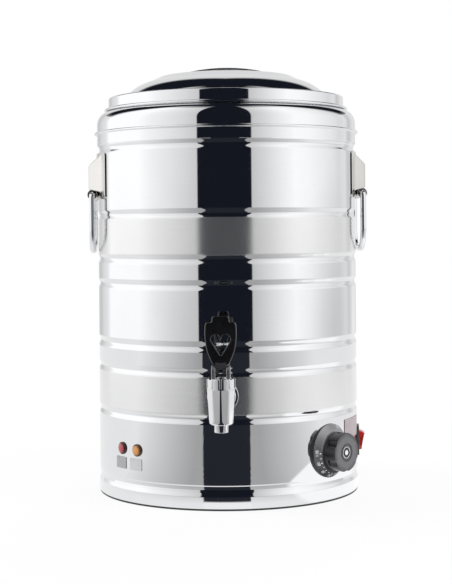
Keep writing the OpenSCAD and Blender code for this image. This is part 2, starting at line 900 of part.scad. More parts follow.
module lamp_housings() {
  color("#2a1c1c")
    at_lamps() difference() {
      union() {
        bar(lamp_d, body_r - deep, body_r + lamp_rim_h);
        bar(lamp_barrel_d, lamp_back, body_r);
      }
      difference() {
        translate([0, -lamp_d, 0]) rotate([-90, 0, 0]) inside(body_r + near, 0, 2 * lamp_d);
        bar(lamp_barrel_d, lamp_back - cut, body_r + cut);
      }
      bar(lamp_mouth_d, lamp_mouth_z, body_r + lamp_rim_h + cut);
    }
}

// Domed lens that stands in the housing's mouth
module lens(angle, tint) {
  lens_d = lamp_mouth_d - 2 * near;
  dome_rise = 2.4;
  dome_ball = (lens_d * lens_d / 4 + dome_rise * dome_rise) / (2 * dome_rise);
  face = body_r + lamp_rim_h;
  color(tint)
    on_shell(angle, lamp_z) {
      bar(lens_d, lamp_mouth_z, face);
      intersection() {
        translate([0, 0, face + dome_rise - dome_ball]) sphere(r = dome_ball);
        bar(lens_d, face - run, face + dome_rise + cut);
      }
    }
}

module red_lens() lens(red_lamp_angle, "#b3262c");

module amber_lens() lens(amber_lamp_angle, "#d98a2e");

module lamp_nuts() {
  nut_t = 4;
  nut_face = flat_seat(shell_in, lamp_nut_across / 2 / cos(30)) - near;
  color("#3a3a3d")
    at_lamps() difference() {
      hex_bar(lamp_nut_across, nut_face - nut_t, nut_face);
      bar(lamp_barrel_d + 2 * run, nut_face - nut_t - cut, nut_face + cut);
    }
}

module curved_plate(angle, z, w, h, t) {
  intersection() {
    ring_wall(body_r + near, body_r + near + t, z - h / 2, z + h / 2);
    on_shell(angle, z) block(w, 2 * h, body_r / 2, 2 * body_r);
  }
}

module lamp_labels() {
  color("#b9babd")
    for (a = [red_lamp_angle, amber_lamp_angle])
      curved_plate(a + label_turn, label_z, label_w, label_h, label_t);
}

module blank_plate() {
  color("#c9bfc2") curved_plate(blank_angle, blank_z, blank_w, blank_h, label_t);
}

// ---------- Switch ----------

switch_body_w = 21;
switch_body_h = 28;
switch_depth = 24;
switch_back = body_r - switch_depth;
switch_rim_h = 2.5;
rocker_half = 12.2;
rocker_w = 16.6;
trunnion_d = 3;
trunnion_out = 1.4;
rocker_out = 0.5;
rocker_axis = body_r + rocker_out;

module switch_frame() {
  color("#151517")
    on_shell(switch_angle, switch_z) difference() {
      union() {
        difference() {
          block(switch_w, switch_h, body_r - deep, body_r + switch_rim_h);
          translate([0, -switch_h, 0]) rotate([-90, 0, 0]) inside(body_r + near, 0, 2 * switch_h);
        }
        block(switch_body_w, switch_body_h, switch_back, body_r + switch_rim_h);
      }
      block(rocker_w + 2 * fit, 2 * (rocker_half + fit), rocker_axis - rocker_half - fit, 2 * body_r);
      translate([0, 0, rocker_axis]) rotate([0, 90, 0])
        cylinder(d = trunnion_d + 2 * run, h = rocker_w + 2 * (trunnion_out + near), center = true);
    }
}

module rocker() {
  lobe_y = 9.5;
  lobe_z = 7.5;
  middle_z = 4;
  under_z = -6;
  color("#c8201e")
    on_shell(switch_angle, switch_z)
      translate([0, 0, rocker_axis]) rotate([rocker_tilt, 0, 0]) rotate([90, 0, 90]) {
        linear_extrude(height = rocker_w, center = true) intersection() {
          circle(r = rocker_half, $fn = 64);
          polygon([[-rocker_half, under_z], [rocker_half, under_z], [rocker_half, lobe_z],
                   [lobe_y, lobe_z], [0, middle_z], [-lobe_y, lobe_z], [-rocker_half, lobe_z]]);
        }
        cylinder(d = trunnion_d, h = rocker_w + 2 * trunnion_out, center = true);
      }
}

// ---------- Power inlet ----------

socket_w = 28;
socket_h = 20;
socket_depth = 16;
inlet_depth = 24;
inlet_back = body_r - inlet_depth;
inlet_flange_w = 50;
inlet_flange_t = 2.5;
inlet_screw_x = 20;
inlet_screw_d = 3.4;
inlet_face = body_r + inlet_flange_t;
pin_w = 2;
pin_h = 4;
pin_foot = 3;
pin_foot_z = inlet_back + pin_foot;
pin_short = 6;
pin_places = [[-7, -2], [0, 2], [7, -2]];

module inlet_frame() on_shell(inlet_angle, inlet_z) children();

module power_inlet() {
  wall = 2;
  color("#1b1b1d")
    inlet_frame() difference() {
      union() {
        difference() {
          block(inlet_flange_w, socket_h + 2 * wall, body_r - deep, inlet_face);
          translate([0, -socket_h, 0]) rotate([-90, 0, 0]) inside(body_r + near, 0, 2 * socket_h);
        }
        block(socket_w, socket_h, inlet_back, inlet_face);
      }
      block(socket_w - 2 * wall, socket_h - 2 * wall, inlet_face - socket_depth, inlet_face + cut);
      for (s = [-1, 1])
        translate([s * inlet_screw_x, 0, 0])
          bar(inlet_screw_d + 2 * near, body_r - 2 * deep, inlet_face + cut);
      for (p = pin_places)
        translate([p[0], p[1], 0]) block(pin_w + 2 * run, pin_h + 2 * run, pin_foot_z, inlet_face);
    }
}

module inlet_pins() {
  color("#c9a24a")
    inlet_frame() for (p = pin_places)
      translate([p[0], p[1], 0]) block(pin_w, pin_h, pin_foot_z + near, inlet_face - pin_short);
}

module inlet_screws() {
  head_h = 1.6;
  head_d = 6;
  color("#c9ccd0")
    inlet_frame() for (s = [-1, 1])
      translate([s * inlet_screw_x, 0, 0]) {
        bar(head_d, inlet_face, inlet_face + head_h);
        bar(inlet_screw_d, body_r - 3 * deep, inlet_face + head_h);
      }
}

// ---------- Tap ----------

tap_y = body_r + tap_reach;
chamber_d = 20;
chamber_half = 13.5;
seat_z = tap_z - chamber_half;
seal_t = 4;
collar_disc_t = 2.5;
barrel_top_z = tap_z + chamber_half;
barrel_low_z = barrel_top_z - barrel_h;
bonnet_top_z = barrel_top_z + bonnet_h;
plug_in = 4;
plug_low_z = barrel_top_z - plug_in;
pivot_z = bonnet_top_z + pivot_rise;
stem_d = 6;
foot_gap = 1.4;
foot_r = pivot_rise - foot_gap;
post_r = foot_r + fit;
lever_gap = 1;
lever_low_z = pivot_z + post_r + lever_gap;
flange_step = 2;
gasket_t = 2.3;
gasket_face = body_r + gasket_t;
seal_top_z = seat_z + seal_t;
spring_low_z = seal_top_z + collar_disc_t;
slot_half = 2.2;

module at_tap() translate([0, -tap_y, 0]) children();

module tap_gasket() {
  gasket_inset = 1.5;
  gasket_d = tap_flange_d - 2 * gasket_inset;
  color("#1c1c1e")
    on_shell(0, tap_z) difference() {
      bar(gasket_d, body_r - deep, gasket_face);
      translate([0, -tap_flange_d, 0]) rotate([-90, 0, 0]) inside(body_r + near, 0, 2 * tap_flange_d);
      bar(inlet_d + 2 * near, body_r - 2 * deep, gasket_face + cut);
    }
}

module tap_flange() {
  ledge = 3.5;
  color("#e6e8ea")
    on_shell(0, tap_z) difference() {
      union() {
        bar(tap_flange_d, gasket_face, gasket_face + flange_step);
        bar(tap_flange_d - 2 * ledge, gasket_face, gasket_face + 2 * flange_step);
      }
      bar(inlet_d + 2 * run, gasket_face - cut, gasket_face + 2 * flange_step + cut);
    }
}

module tap_body() {
  chamfer = 2;
  edge = 0.5;
  thread_past = 2;
  throat_step = 1;
  inlet_end = tap_nut_face - tap_nut_t - thread_past;
  throat_d = nozzle_bore - 2 * throat_step;
  bore_wall = 3;
  color("#e9ebed")
    difference() {
      union() {
        at_tap() intersection() {
          union() {
            translate([0, 0, barrel_low_z + chamfer])
              cylinder(d1 = barrel_low_d, d2 = barrel_top_d, h = barrel_h - chamfer);
            translate([0, 0, barrel_low_z])
              cylinder(d1 = barrel_low_d - 2 * chamfer, d2 = barrel_low_d, h = chamfer);
          }
          translate([0, 0, barrel_low_z]) rotate([0, 0, -90])
            cylinder(d1 = barrel_low_d + edge, d2 = barrel_top_d + edge, h = barrel_h, $fn = flat_count);
        }
        at_tap() bar(nozzle_d, barrel_low_z - nozzle_h, barrel_low_z + cut);
        on_shell(0, tap_z) bar(inlet_d, inlet_end, tap_y - chamber_d / 2);
      }
      at_tap() {
        bar(chamber_d, seat_z, barrel_top_z + cut);
        bar(throat_d, barrel_low_z, seat_z + cut);
        bar(nozzle_bore, barrel_low_z - nozzle_h - cut, barrel_low_z + bore_wall);
      }
      on_shell(0, tap_z) bar(inlet_d - 2 * bore_wall, inlet_end - cut, tap_y);
    }
}

// Bore of the lever's pin, through posts and foot
module pin_bore() {
  translate([-barrel_top_d, 0, pivot_z]) rotate([0, 90, 0])
    cylinder(d = pin_d + 2 * run, h = 2 * barrel_top_d);
}

module tap_bonnet() {
  notch_count = 10;
  notch_w = 2.4;
  notch_in = 1.8;
  ledge = 1.5;
  color("#dcdee0")
    at_tap() difference() {
      union() {
        bar(barrel_top_d, barrel_top_z, bonnet_top_z);
        bar(chamber_d - 2 * near, plug_low_z, barrel_top_z + cut);
        for (s = [-1, 1])
          translate([s * (post_gap + post_t) / 2, 0, 0]) {
            block(post_t, 2 * post_r, bonnet_top_z - cut, pivot_z);
            translate([-post_t / 2, 0, pivot_z]) rotate([0, 90, 0]) cylinder(r = post_r, h = post_t);
          }
      }
      for (i = [0:notch_count - 1])
        rotate([0, 0, 360 * i / notch_count])
          translate([0, -barrel_top_d / 2, 0])
            block(notch_w, 2 * notch_in, barrel_top_z + ledge, bonnet_top_z + cut);
      bar(stem_d + 2 * run, plug_low_z - cut, bonnet_top_z + cut);
      pin_bore();
    }
}

module lever_pin() {
  color("#b9bbbe")
    at_tap() translate([0, 0, pivot_z]) rotate([0, 90, 0])
      cylinder(d = pin_d, h = post_gap + 2 * post_t, center = true);
}

module tap_stem() {
  blade_d = 4;
  disc_gap = 1.5;
  rod_top = pivot_z - foot_r - near - stem_lift;
  blade_top = pivot_z - pin_d / 2 - near - stem_lift;
  color("#c5c7ca")
    at_tap() {
      bar(stem_d, seal_top_z, rod_top);
      bar(chamber_d - 2 * disc_gap, seal_top_z, seal_top_z + collar_disc_t);
      block(2 * (slot_half - near), blade_d, rod_top - cut, blade_top);
    }
}

module tap_seal() {
  seal_over = 2;
  color("#3a3a3c") at_tap() bar(nozzle_bore + 2 * seal_over, seat_z, seal_top_z);
}

module tap_spring() {
  turns = 5;
  steps = 14;
  wire = 0.7;
  coil_r = 6.2;
  low = spring_low_z + wire + near / 2;
  high = plug_low_z - wire - near / 2;
  color("#9a9ca0")
    at_tap() tube(
      [for (i = [0:turns * steps]) let (a = 360 * i / steps)
        [coil_r * cos(a), coil_r * sin(a), low + (high - low) * i / (turns * steps)]],
      wire, [0, 0, 1], 6
    );
}

// Half the lever's outline from its foot to its top, as fractions of its width and height
lever_edge = [[0.2, 0], [0.26, 0.018], [0.3, 0.06], [0.435, 0.28], [0.485, 0.47], [0.5, 0.61],
  [0.5, 0.72], [0.49, 0.8], [0.466, 0.87], [0.28, 0.875], [0.27, 1]];

module lever_outline() {
  right = [for (p = lever_edge) [p[0] * lever_w, p[1] * lever_h]];
  left = [for (i = [len(right) - 1:-1:0]) [-right[i][0], right[i][1]]];
  polygon(concat(right, left));
}

// Heart opening of width w, with its tip at the origin
module heart(w) {
  lobe = w * 0.241;
  lobe_x = w * 0.259;
  lobe_z = w * 0.87;
  side = [w * 0.463, w * 0.743];
  cleft_z = w * 0.777;
  union() {
    for (s = [-1, 1]) translate([s * lobe_x, lobe_z]) circle(r = lobe, $fn = 32);
    polygon([[0, 0], side, [lobe_x, lobe_z], [0, cleft_z], [-lobe_x, lobe_z], [-side[0], side[1]]]);
  }
}

module tap_lever() {
  heart_w = lever_w * 0.614;
  heart_rise = lever_h * 0.174;
  cheek = post_gap - 2 * fit;
  neck_step = 1.5;
  neck_in = 2;
  neck_t = 2 * (foot_r - neck_step);
  color("#17181a")
    at_tap() difference() {
      union() {
        translate([0, lever_t / 2, lever_low_z]) rotate([90, 0, 0]) linear_extrude(height = lever_t)
          difference() {
            lever_outline();
            translate([0, heart_rise]) heart(heart_w);
          }
        block(cheek, neck_t, pivot_z, lever_low_z + neck_in);
        translate([0, 0, pivot_z]) rotate([0, 90, 0]) cylinder(r = foot_r, h = cheek, center = true);
      }
      pin_bore();
      block(2 * slot_half, 3 * foot_r, pivot_z - foot_r - cut, pivot_z + pin_d / 2 + near);
    }
}

tap_nut_across = 26;
tap_nut_t = 7;
tap_nut_face = flat_seat(pot_r, tap_nut_across / 2 / cos(30)) - 2 * fit;

module pot_gasket() {
  color("#1c1c1e")
    intersection() {
      on_shell(0, tap_z) difference() {
        bar(tap_nut_across, tap_nut_face, pot_out);
        bar(inlet_d + 2 * near, tap_nut_face - cut, pot_out + cut);
      }
      inside(pot_r - near, tap_z - tap_nut_across, tap_z + tap_nut_across);
    }
}

module tap_nut() {
  color("#d0d2d5")
    on_shell(0, tap_z) difference() {
      hex_bar(tap_nut_across, tap_nut_face - tap_nut_t, tap_nut_face);
      bar(inlet_d + 2 * run, tap_nut_face - tap_nut_t - cut, tap_nut_face + cut);
    }
}

// ---------- Side handles ----------

plate_top = joint_z - groove_h;
plate_low = plate_top - plate_h;
plate_in = body_r + near;
plate_out = plate_in + plate_t;
barrel_wall = 2.6;
barrel_bore_r = rod_d / 2 + 2 * run;
barrel_out_r = barrel_bore_r + barrel_wall;
barrel_x = plate_out + barrel_bore_r + 2 * fit;
barrel_rise = 6;
barrel_z = plate_low + barrel_rise;
barrel_half = ring_w / 2 - ring_top_r - near / 2;
box_out = 4.5;
box_out_x = barrel_x + box_out;
box_slope = 14; // run of the box's slanted sides
box_margin = 8;
box_lean = 8.5;
box_dip = 1;
box_top = plate_top - box_margin;
box_shoulder = box_top - box_lean;
box_low = barrel_z + barrel_out_r - box_dip;
box_low_step = 2;

module handle_frame(side) rotate([0, 0, handle_turn + (side > 0 ? 0 : 180)]) children();

// Pressed box of the bracket: side view cut to the plan view, both grown inwards by t
module pressed_box(t) {
  base_half = barrel_half + box_slope - t;
  root = plate_in - 2 * deep;
  intersection() {
    rotate([90, 0, 0]) linear_extrude(height = 2 * (base_half + cut), center = true) polygon([
      [root, box_top - t], [plate_in, box_top - t], [box_out_x - t, box_shoulder - t],
      [box_out_x - t, box_low + box_low_step + t], [barrel_x, box_low + t], [root, box_low + t]
    ]);
    linear_extrude(height = 2 * joint_z) polygon([
      [root, -base_half], [plate_in, -base_half], [box_out_x - t, -barrel_half + t],
      [box_out_x - t, barrel_half - t], [plate_in, base_half], [root, base_half]
    ]);
  }
}

module bracket() {
  half_w = plate_out * sin(plate_half_angle);
  corner = 5;
  color("#d9dbde")
    difference() {
      union() {
        intersection() {
          inside(plate_out, plate_low, plate_top);
          translate([plate_in / 2, 0, (plate_low + plate_top) / 2]) rotate([90, 0, 90])
            linear_extrude(height = plate_in) offset(r = corner, $fn = 24)
              square([2 * (half_w - corner), plate_h - 2 * corner], center = true);
        }
        pressed_box(0);
        translate([barrel_x, 0, barrel_z]) rotate([90, 0, 0])
          cylinder(r = barrel_out_r, h = 2 * barrel_half, center = true);
      }
      pressed_box(plate_t);
      inside(plate_in, plate_low - cut, plate_top + cut);
      translate([barrel_x, 0, barrel_z]) rotate([90, 0, 0])
        cylinder(r = barrel_bore_r, h = 4 * barrel_half, center = true);
    }
}

module right_bracket() handle_frame(1) bracket();

module left_bracket() handle_frame(-1) bracket();

// One rod of the ring between two points of its own plane
module rod(from, to) {
  v = to - from;
  translate([0, from[0], from[1]]) rotate([atan2(v[1], v[0]), 0, 0]) rotate([-90, 0, 0])
    cylinder(d = rod_d, h = norm(v));
}

// A bent corner of the ring
module bend(y, z, r, from) {
  translate([0, y, z]) rotate([90, 0, 90]) rotate([0, 0, from])
    rotate_extrude(angle = 90) translate([r, 0]) circle(d = rod_d, $fn = 32);
}

module ring() {
  half = ring_w / 2;
  top_y = half - ring_top_r;
  low_y = half - ring_low_r;
  low_z = -ring_h + ring_low_r;
  color("#dadcdf")
    translate([barrel_x, 0, barrel_z]) {
      rod([-top_y, 0], [top_y, 0]);
      rod([-low_y, -ring_h], [low_y, -ring_h]);
      for (s = [-1, 1]) rod([s * half, low_z], [s * half, -ring_top_r]);
      bend(top_y, -ring_top_r, ring_top_r, 0);
      bend(-top_y, -ring_top_r, ring_top_r, 90);
      bend(-low_y, low_z, ring_low_r, 180);
      bend(low_y, low_z, ring_low_r, 270);
    }
}

module right_ring() handle_frame(1) ring();

module left_ring() handle_frame(-1) ring();

// ---------- Lid ----------

lid_z = collar_top + lid_bead_r + fit;
bead_gap = 0.4;
bead_x = pot_r + lip_w + lid_bead_r + bead_gap;
skirt_top = lid_z + skirt_h;
shoulder_top = skirt_top + dome_h;
crown_z = shoulder_top + crown_h;
dish_z = crown_z - dish_depth;
lip_top = collar_top + sheet_t;
lid_gasket_t = 2.5;
liner_z = lip_top + lid_gasket_t;
plug_gap = 0.8;
plug_r = pot_r - sheet_t - plug_gap;
flange_r = skirt_r - sheet_t - near;
plug_floor = lip_top - plug_h;

// Outline of the lid from its bead to its middle; e stretches the open sides for a cutter
module lid_area(e) {
  edge_r = 2;
  foot_turn = 35;
  brow_turn = 76;
  dome_rx = dome_w / (cos(foot_turn) - cos(brow_turn));
  dome_rz = dome_h / (sin(brow_turn) - sin(foot_turn));
  dome_x = dome_r - dome_rx * cos(foot_turn);
  dome_z = skirt_top - dome_rz * sin(foot_turn);
  crown_w = 18;
  crown_turn = 60;
  brow_gap = 1;
  crown_rx = crown_w / cos(crown_turn);
  crown_rz = crown_h / (1 - sin(crown_turn));
  dish_edge = 4;
  polygon(concat(
    [[bead_x, lid_z + sheet_t / 2], [skirt_r, lid_z + sheet_t / 2]],
    arc(skirt_r - edge_r, skirt_top - edge_r, edge_r, edge_r, 0, 90),
    arc(dome_x, dome_z, dome_rx, dome_rz, foot_turn, brow_turn, 12),
    arc(crown_r - crown_w, crown_z - crown_rz, crown_rx, crown_rz, crown_turn + brow_gap, 90, 6),
    arc(dish_r + dish_edge, crown_z - dish_edge, dish_edge, dish_edge, 90, 180),
    arc(dish_r - dish_edge, dish_z + dish_edge, dish_edge, dish_edge, 0, -90),
    [[-e, dish_z], [-e, lid_z - sheet_t / 2 - e], [bead_x, lid_z - sheet_t / 2 - e]]
  ));
}

module lid_shell() {
  color("#e0e2e5")
    difference() {
      rotate_extrude() union() {
        difference() {
          lid_area(0);
          offset(delta = -sheet_t) lid_area(10);
        }
        translate([bead_x, lid_z]) circle(r = lid_bead_r, $fn = 24);
      }
      at_handle_rivets() bar(rivet_d + 2 * run, crown_z - deep, crown_z + cut);
    }
}

module lid_liner() {
  color("#cdd0d4")
    lathe([
      [0, plug_floor - sheet_t], [plug_r, plug_floor - sheet_t], [plug_r, liner_z], [flange_r, liner_z],
      [flange_r, liner_z + sheet_t], [plug_r - sheet_t, liner_z + sheet_t],
      [plug_r - sheet_t, plug_floor], [0, plug_floor]
    ]);
}

module lid_gasket() {
  inner = pot_r + near;
  color("#d8d8d4")
    lathe([[inner, lip_top], [flange_r, lip_top], [flange_r, liner_z], [inner, liner_z]]);
}

// Foam in the plug and under the dome
module lid_insulation() {
  dome_gap = 2.5;
  low = plug_floor + near;
  wide = plug_r - sheet_t - near;
  ledge = skirt_top - sheet_t - near;
  high = dish_z - sheet_t - near;
  color("#e8e2c8")
    rotate_extrude() intersection() {
      polygon([
        [0, low], [wide, low], [wide, ledge],
        [dome_r - dome_gap, ledge], [dome_r - dome_gap, high], [0, high]
      ]);
      offset(delta = -sheet_t - near) lid_area(deep + plug_h + sheet_t);
    }
}

rivet_d = 4;
rivet_head_d = 8;
rivet_head_h = 1.6;
rivet_out = 13;
rivet_x = dish_r + rivet_out;
rivet_y = 6;
foot_top = crown_z + handle_t;

module at_handle_rivets() {
  for (sx = [-1, 1]) for (sy = [-1, 1]) translate([sx * rivet_x, sy * rivet_y, 0]) children();
}

// Bowed strap across the finger dish, with a flat foot at each end
module lid_handle() {
  bow_r = 230;
  bow_n = 12;
  bow_in = 2;
  span = dish_r - bow_in;
  top = crown_z + handle_rise;
  foot_half = 7;
  foot_in = rivet_x - foot_half;
  foot_out = rivet_x + foot_half;
  bend = 0.8;
  bow = [for (i = [-bow_n:bow_n]) let (x = span * i / bow_n)
    [x, top - bow_r + sqrt(bow_r * bow_r - x * x)]];
  color("#e3e5e7")
    difference() {
      rotate([90, 0, 0]) linear_extrude(height = handle_w, center = true)
        polygon(concat(
          [[-foot_out, crown_z], [-foot_out, foot_top], [-foot_in, foot_top]],
          bow,
          [[foot_in, foot_top], [foot_out, foot_top], [foot_out, crown_z], [foot_in - bend, crown_z]],
          back(bow, [0, -handle_t]),
          [[-foot_in + bend, crown_z]]
        ));
      at_handle_rivets() bar(rivet_d + 2 * run, crown_z - cut, foot_top + cut);
    }
}

module handle_rivets() {
  tail_top = crown_z - sheet_t;
  color("#cfd2d5")
    at_handle_rivets() {
      bar(rivet_head_d, foot_top, foot_top + rivet_head_h);
      bar(rivet_d, tail_top - rivet_head_h, foot_top + rivet_head_h);
      bar(rivet_head_d, tail_top - rivet_head_h, tail_top);
    }
}

foot_ring();
base_ring();
outer_shell();
rim_collar();
inner_pot();
insulation();
bottom_cover();
bottom_screws();
heat_plate();
heating_element();
element_clamp();
stud_nuts();
heat_shield();
thermostat_body();
thermostat_screws();
thermostat_bulb();
bulb_clip();
capillary();
thermal_cutout();
cutout_screws();
terminal_block();
terminal_screws();
earth_stud();
supply_wires();
control_wires();
thermostat_bezel();
thermostat_knob();
knob_cap();
lamp_housings();
red_lens();
amber_lens();
lamp_nuts();
lamp_labels();
blank_plate();
switch_frame();
rocker();
power_inlet();
inlet_pins();
inlet_screws();
tap_gasket();
tap_flange();
tap_body();
tap_bonnet();
tap_stem();
tap_seal();
tap_spring();
tap_lever();
lever_pin();
pot_gasket();
tap_nut();
left_bracket();
right_bracket();
left_ring();
right_ring();
lid_shell();
lid_liner();
lid_insulation();
lid_gasket();
lid_handle();
handle_rivets();
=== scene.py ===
from math import asin, atan2, cos, degrees, dist, hypot, pi, radians, sin, sqrt, tan

import bmesh
import bpy
from mathutils import Matrix, Vector


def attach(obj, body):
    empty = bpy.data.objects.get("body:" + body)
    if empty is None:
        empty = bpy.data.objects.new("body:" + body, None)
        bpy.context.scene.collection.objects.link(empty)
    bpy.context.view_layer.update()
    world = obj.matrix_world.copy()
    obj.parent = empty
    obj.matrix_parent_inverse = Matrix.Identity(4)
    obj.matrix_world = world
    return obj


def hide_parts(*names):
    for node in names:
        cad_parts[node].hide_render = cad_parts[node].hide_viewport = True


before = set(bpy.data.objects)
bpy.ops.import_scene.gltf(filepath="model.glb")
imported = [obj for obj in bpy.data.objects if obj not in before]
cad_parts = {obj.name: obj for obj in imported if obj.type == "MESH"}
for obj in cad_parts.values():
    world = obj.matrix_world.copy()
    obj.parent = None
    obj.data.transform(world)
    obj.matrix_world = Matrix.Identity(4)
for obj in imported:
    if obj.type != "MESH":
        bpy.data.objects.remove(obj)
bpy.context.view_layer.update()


# ---------- Camera ----------
# A long lens a little to the right of the tap, level, at the height of the middle of the
# body. The frame is shifted down so that the urn stands in the middle of the picture.
def around(r, angle, z):
    """A point at a distance from the axis and an angle to the right of the front."""
    a = radians(angle)
    return r * sin(a), -r * cos(a), z


def linked(name, data):
    """A new object in the scene."""
    obj = bpy.data.objects.new(name, data)
    bpy.context.scene.collection.objects.link(obj)
    return obj


camera_turn = 2.2
camera_roll = 0.5
camera_far = 1.831
camera_height = 0.3326
camera = linked("camera", bpy.data.cameras.new("camera"))
camera.location = around(camera_far, camera_turn, camera_height)
camera.rotation_euler = (radians(90), radians(camera_roll), radians(camera_turn))
camera.data.lens = 87.5
camera.data.sensor_width = 36
camera.data.shift_x = -0.0015
camera.data.shift_y = -0.1096
camera.data.clip_end = 50
bpy.context.scene.camera = camera
bpy.context.scene.view_settings.view_transform = "Standard"


# ---------- Studio ----------
# A white floor, and round the urn a tent of grey cloth with a dark gap that the camera looks
# through, lit by three softboxes. The tent is seen only in the gloss of the metal.
def wire(tree, *pairs):
    for out, into in pairs:
        tree.links.new(out, into)


def add(tree, kind, inputs=None, **settings):
    """A shader node with its settings, and with values or sockets on its inputs."""
    n = tree.nodes.new("ShaderNode" + kind)
    for key, value in settings.items():
        setattr(n, key, value)
    for key, value in (inputs or {}).items():
        if isinstance(value, bpy.types.NodeSocket):
            tree.links.new(value, n.inputs[key])
        else:
            n.inputs[key].default_value = value
    return n


def calc(tree, operation, a, b=0.5, clamp=False):
    """The result of a Math node whose inputs are sockets or numbers."""
    return add(tree, "Math", {0: a, 1: b}, operation=operation, use_clamp=clamp).outputs[0]


def unit(x):
    return min(1, max(0, x))


def rays_that_see(tree):
    """1 for camera, glossy and transmission rays, 0 for the others."""
    path = add(tree, "LightPath").outputs
    both = calc(tree, "ADD", path["Is Camera Ray"], path["Is Glossy Ray"], True)
    return calc(tree, "ADD", both, path["Is Transmission Ray"], True)


def new_material(name):
    """A material, its node tree and its Principled shader."""
    material = bpy.data.materials.new(name)
    material.use_nodes = True
    return material, material.node_tree, material.node_tree.nodes["Principled BSDF"]


def stage_mesh(name, verts, faces, material):
    mesh = bpy.data.meshes.new(name)
    mesh.from_pydata(verts, [], faces)
    mesh.materials.append(material)
    obj = linked(name, mesh)
    return obj


world = bpy.data.worlds.new("studio_air")
bpy.context.scene.world = world
world.use_nodes = True
tree = world.node_tree
air = tree.nodes["Background"]
plain_air = 0.62
air.inputs["Color"].default_value = (1, 1, 1, 1)
wire(tree, (calc(tree, "ADD", calc(tree, "MULTIPLY", rays_that_see(tree), 1 - plain_air), plain_air),
            air.inputs["Strength"]))

floor_white, tree, paper = new_material("floor_white")
paper.inputs["Roughness"].default_value = 0.9
paper.inputs["Specular IOR Level"].default_value = 0.1
grain = add(tree, "TexNoise", {"Scale": 240})
tone = add(tree, "ValToRGB", {0: grain.outputs["Fac"]})
for stop, level in zip(tone.color_ramp.elements, (0.93, 0.97)):
    stop.color = (level, level, level, 1)
spread = add(tree, "VectorMath", {0: add(tree, "TexCoord").outputs["Object"]}, operation="LENGTH")
share = add(tree, "MapRange", {"Value": spread.outputs["Value"], "From Min": 0.30, "From Max": 0.75,
                               "To Min": 0.87, "To Max": 1.0})
glow = calc(tree, "MULTIPLY", rays_that_see(tree), share.outputs["Result"])
mix = add(tree, "MixShader", {0: glow, 1: paper.outputs[0], 2: add(tree, "Emission").outputs[0]})
wire(tree, (tone.outputs[0], paper.inputs["Base Color"]),
     (mix.outputs[0], tree.nodes["Material Output"].inputs["Surface"]))
far = 9
stage_mesh("floor", [(-far, -far, 0), (far, -far, 0), (far, far, 0), (-far, far, 0)], [(0, 1, 2, 3)],
           floor_white)

tent_r = 2.4
wall_top = 1.3
roof_start = 24
# Levels round the tent from the camera's direction: angle to the right, then the level high
# on the wall and the level low on it
tent_levels = [
    (-180, 0.86, 0.80), (-165, 0.80, 0.74), (-150, 0.62, 0.60), (-140, 0.80, 0.78), (-129, 0.90, 0.90),
    (-122, 1.20, 1.16), (-80, 1.20, 1.14), (-66, 1.06, 0.98), (-50, 0.94, 0.82), (-36, 0.82, 0.70),
    (-24.6, 0.70, 0.62), (-23.6, 0.012, 0.014), (20.2, 0.012, 0.014), (21.2, 0.66, 0.60),
    (34, 0.82, 0.78), (48, 1.02, 0.98), (60, 1.16, 1.12), (74, 1.12, 1.02), (90, 1.02, 0.80),
    (104, 0.92, 0.68), (114, 0.82, 0.68), (126, 0.88, 0.80), (134, 0.64, 0.70), (146, 0.84, 0.96),
    (160, 0.80, 0.80), (180, 0.86, 0.80),
]


def tent_level(turn, high):
    """Level of the tent at an angle from the camera and a height from 0 (low) to 1."""
    for (a, a1, a0), (b, b1, b0) in zip(tent_levels, tent_levels[1:]):
        if a <= turn <= b:
            t = (turn - a) / (b - a)
            low = a0 + (b0 - a0) * t
            return low + (a1 + (b1 - a1) * t - low) * high


tent_cloth, tree, shader = new_material("tent_cloth")
tree.nodes.remove(shader)
paint = add(tree, "VertexColor", layer_name="level")
lit = add(tree, "Emission", {"Color": paint.outputs["Color"]})
wire(tree, (lit.outputs[0], tree.nodes["Material Output"].inputs["Surface"]))
tent_cloth.cycles.emission_sampling = "NONE"


def tent_piece(name, rows, level):
    """A part of the tent from rows of points; level gives the light at (turn, row)."""
    turns = [t / 2 for t in range(-360, 361)]
    w = len(turns)
    faces = [(k * w + i, k * w + i + 1, (k + 1) * w + i + 1, (k + 1) * w + i)
             for k in range(len(rows) - 1) for i in range(w - 1)]
    card = stage_mesh(name, [around(r, turn + camera_turn, z) for r, z in rows for turn in turns], faces,
                      tent_cloth)
    layer = card.data.color_attributes.new("level", "FLOAT_COLOR", "POINT")
    light = [level(turn, k) for k in range(len(rows)) for turn in turns]
    for item, value in zip(layer.data, light):
        c = value if isinstance(value, tuple) else (value, value, value)
        item.color = (*c, 1)
    for rays in ("camera", "diffuse", "transmission", "shadow"):
        setattr(card, "visible_" + rays, False)


dark_cloth = (0.0085, 0.0105, 0.0165)
dark_floor = (0.02, 0.022, 0.03)
white_card = (1.0, 1.0, 1.0)
urn_r = 0.165
wall_rows = [(tent_r, z / 20) for z in range(-1, 27)]
roof = [radians(e) for e in range(roof_start, 91, 2)]
dome_rows = [(tent_r * cos(e) / cos(roof[0]), wall_top + tent_r * (sin(e) - sin(roof[0]))) for e in roof]
floor_rows = [(0.17 + 0.01 * i, 0.0012) for i in range(30)]
floor_rows += [(0.47 + 0.08 * i, 0.0012) for i in range(25)]


def in_gap(turn):
    return -24.1 < turn < 20.7


def wall_light(turn, k):
    if in_gap(turn):
        return dark_cloth
    return tent_level(turn, unit((wall_rows[k][1] - 0.05) / 0.45))


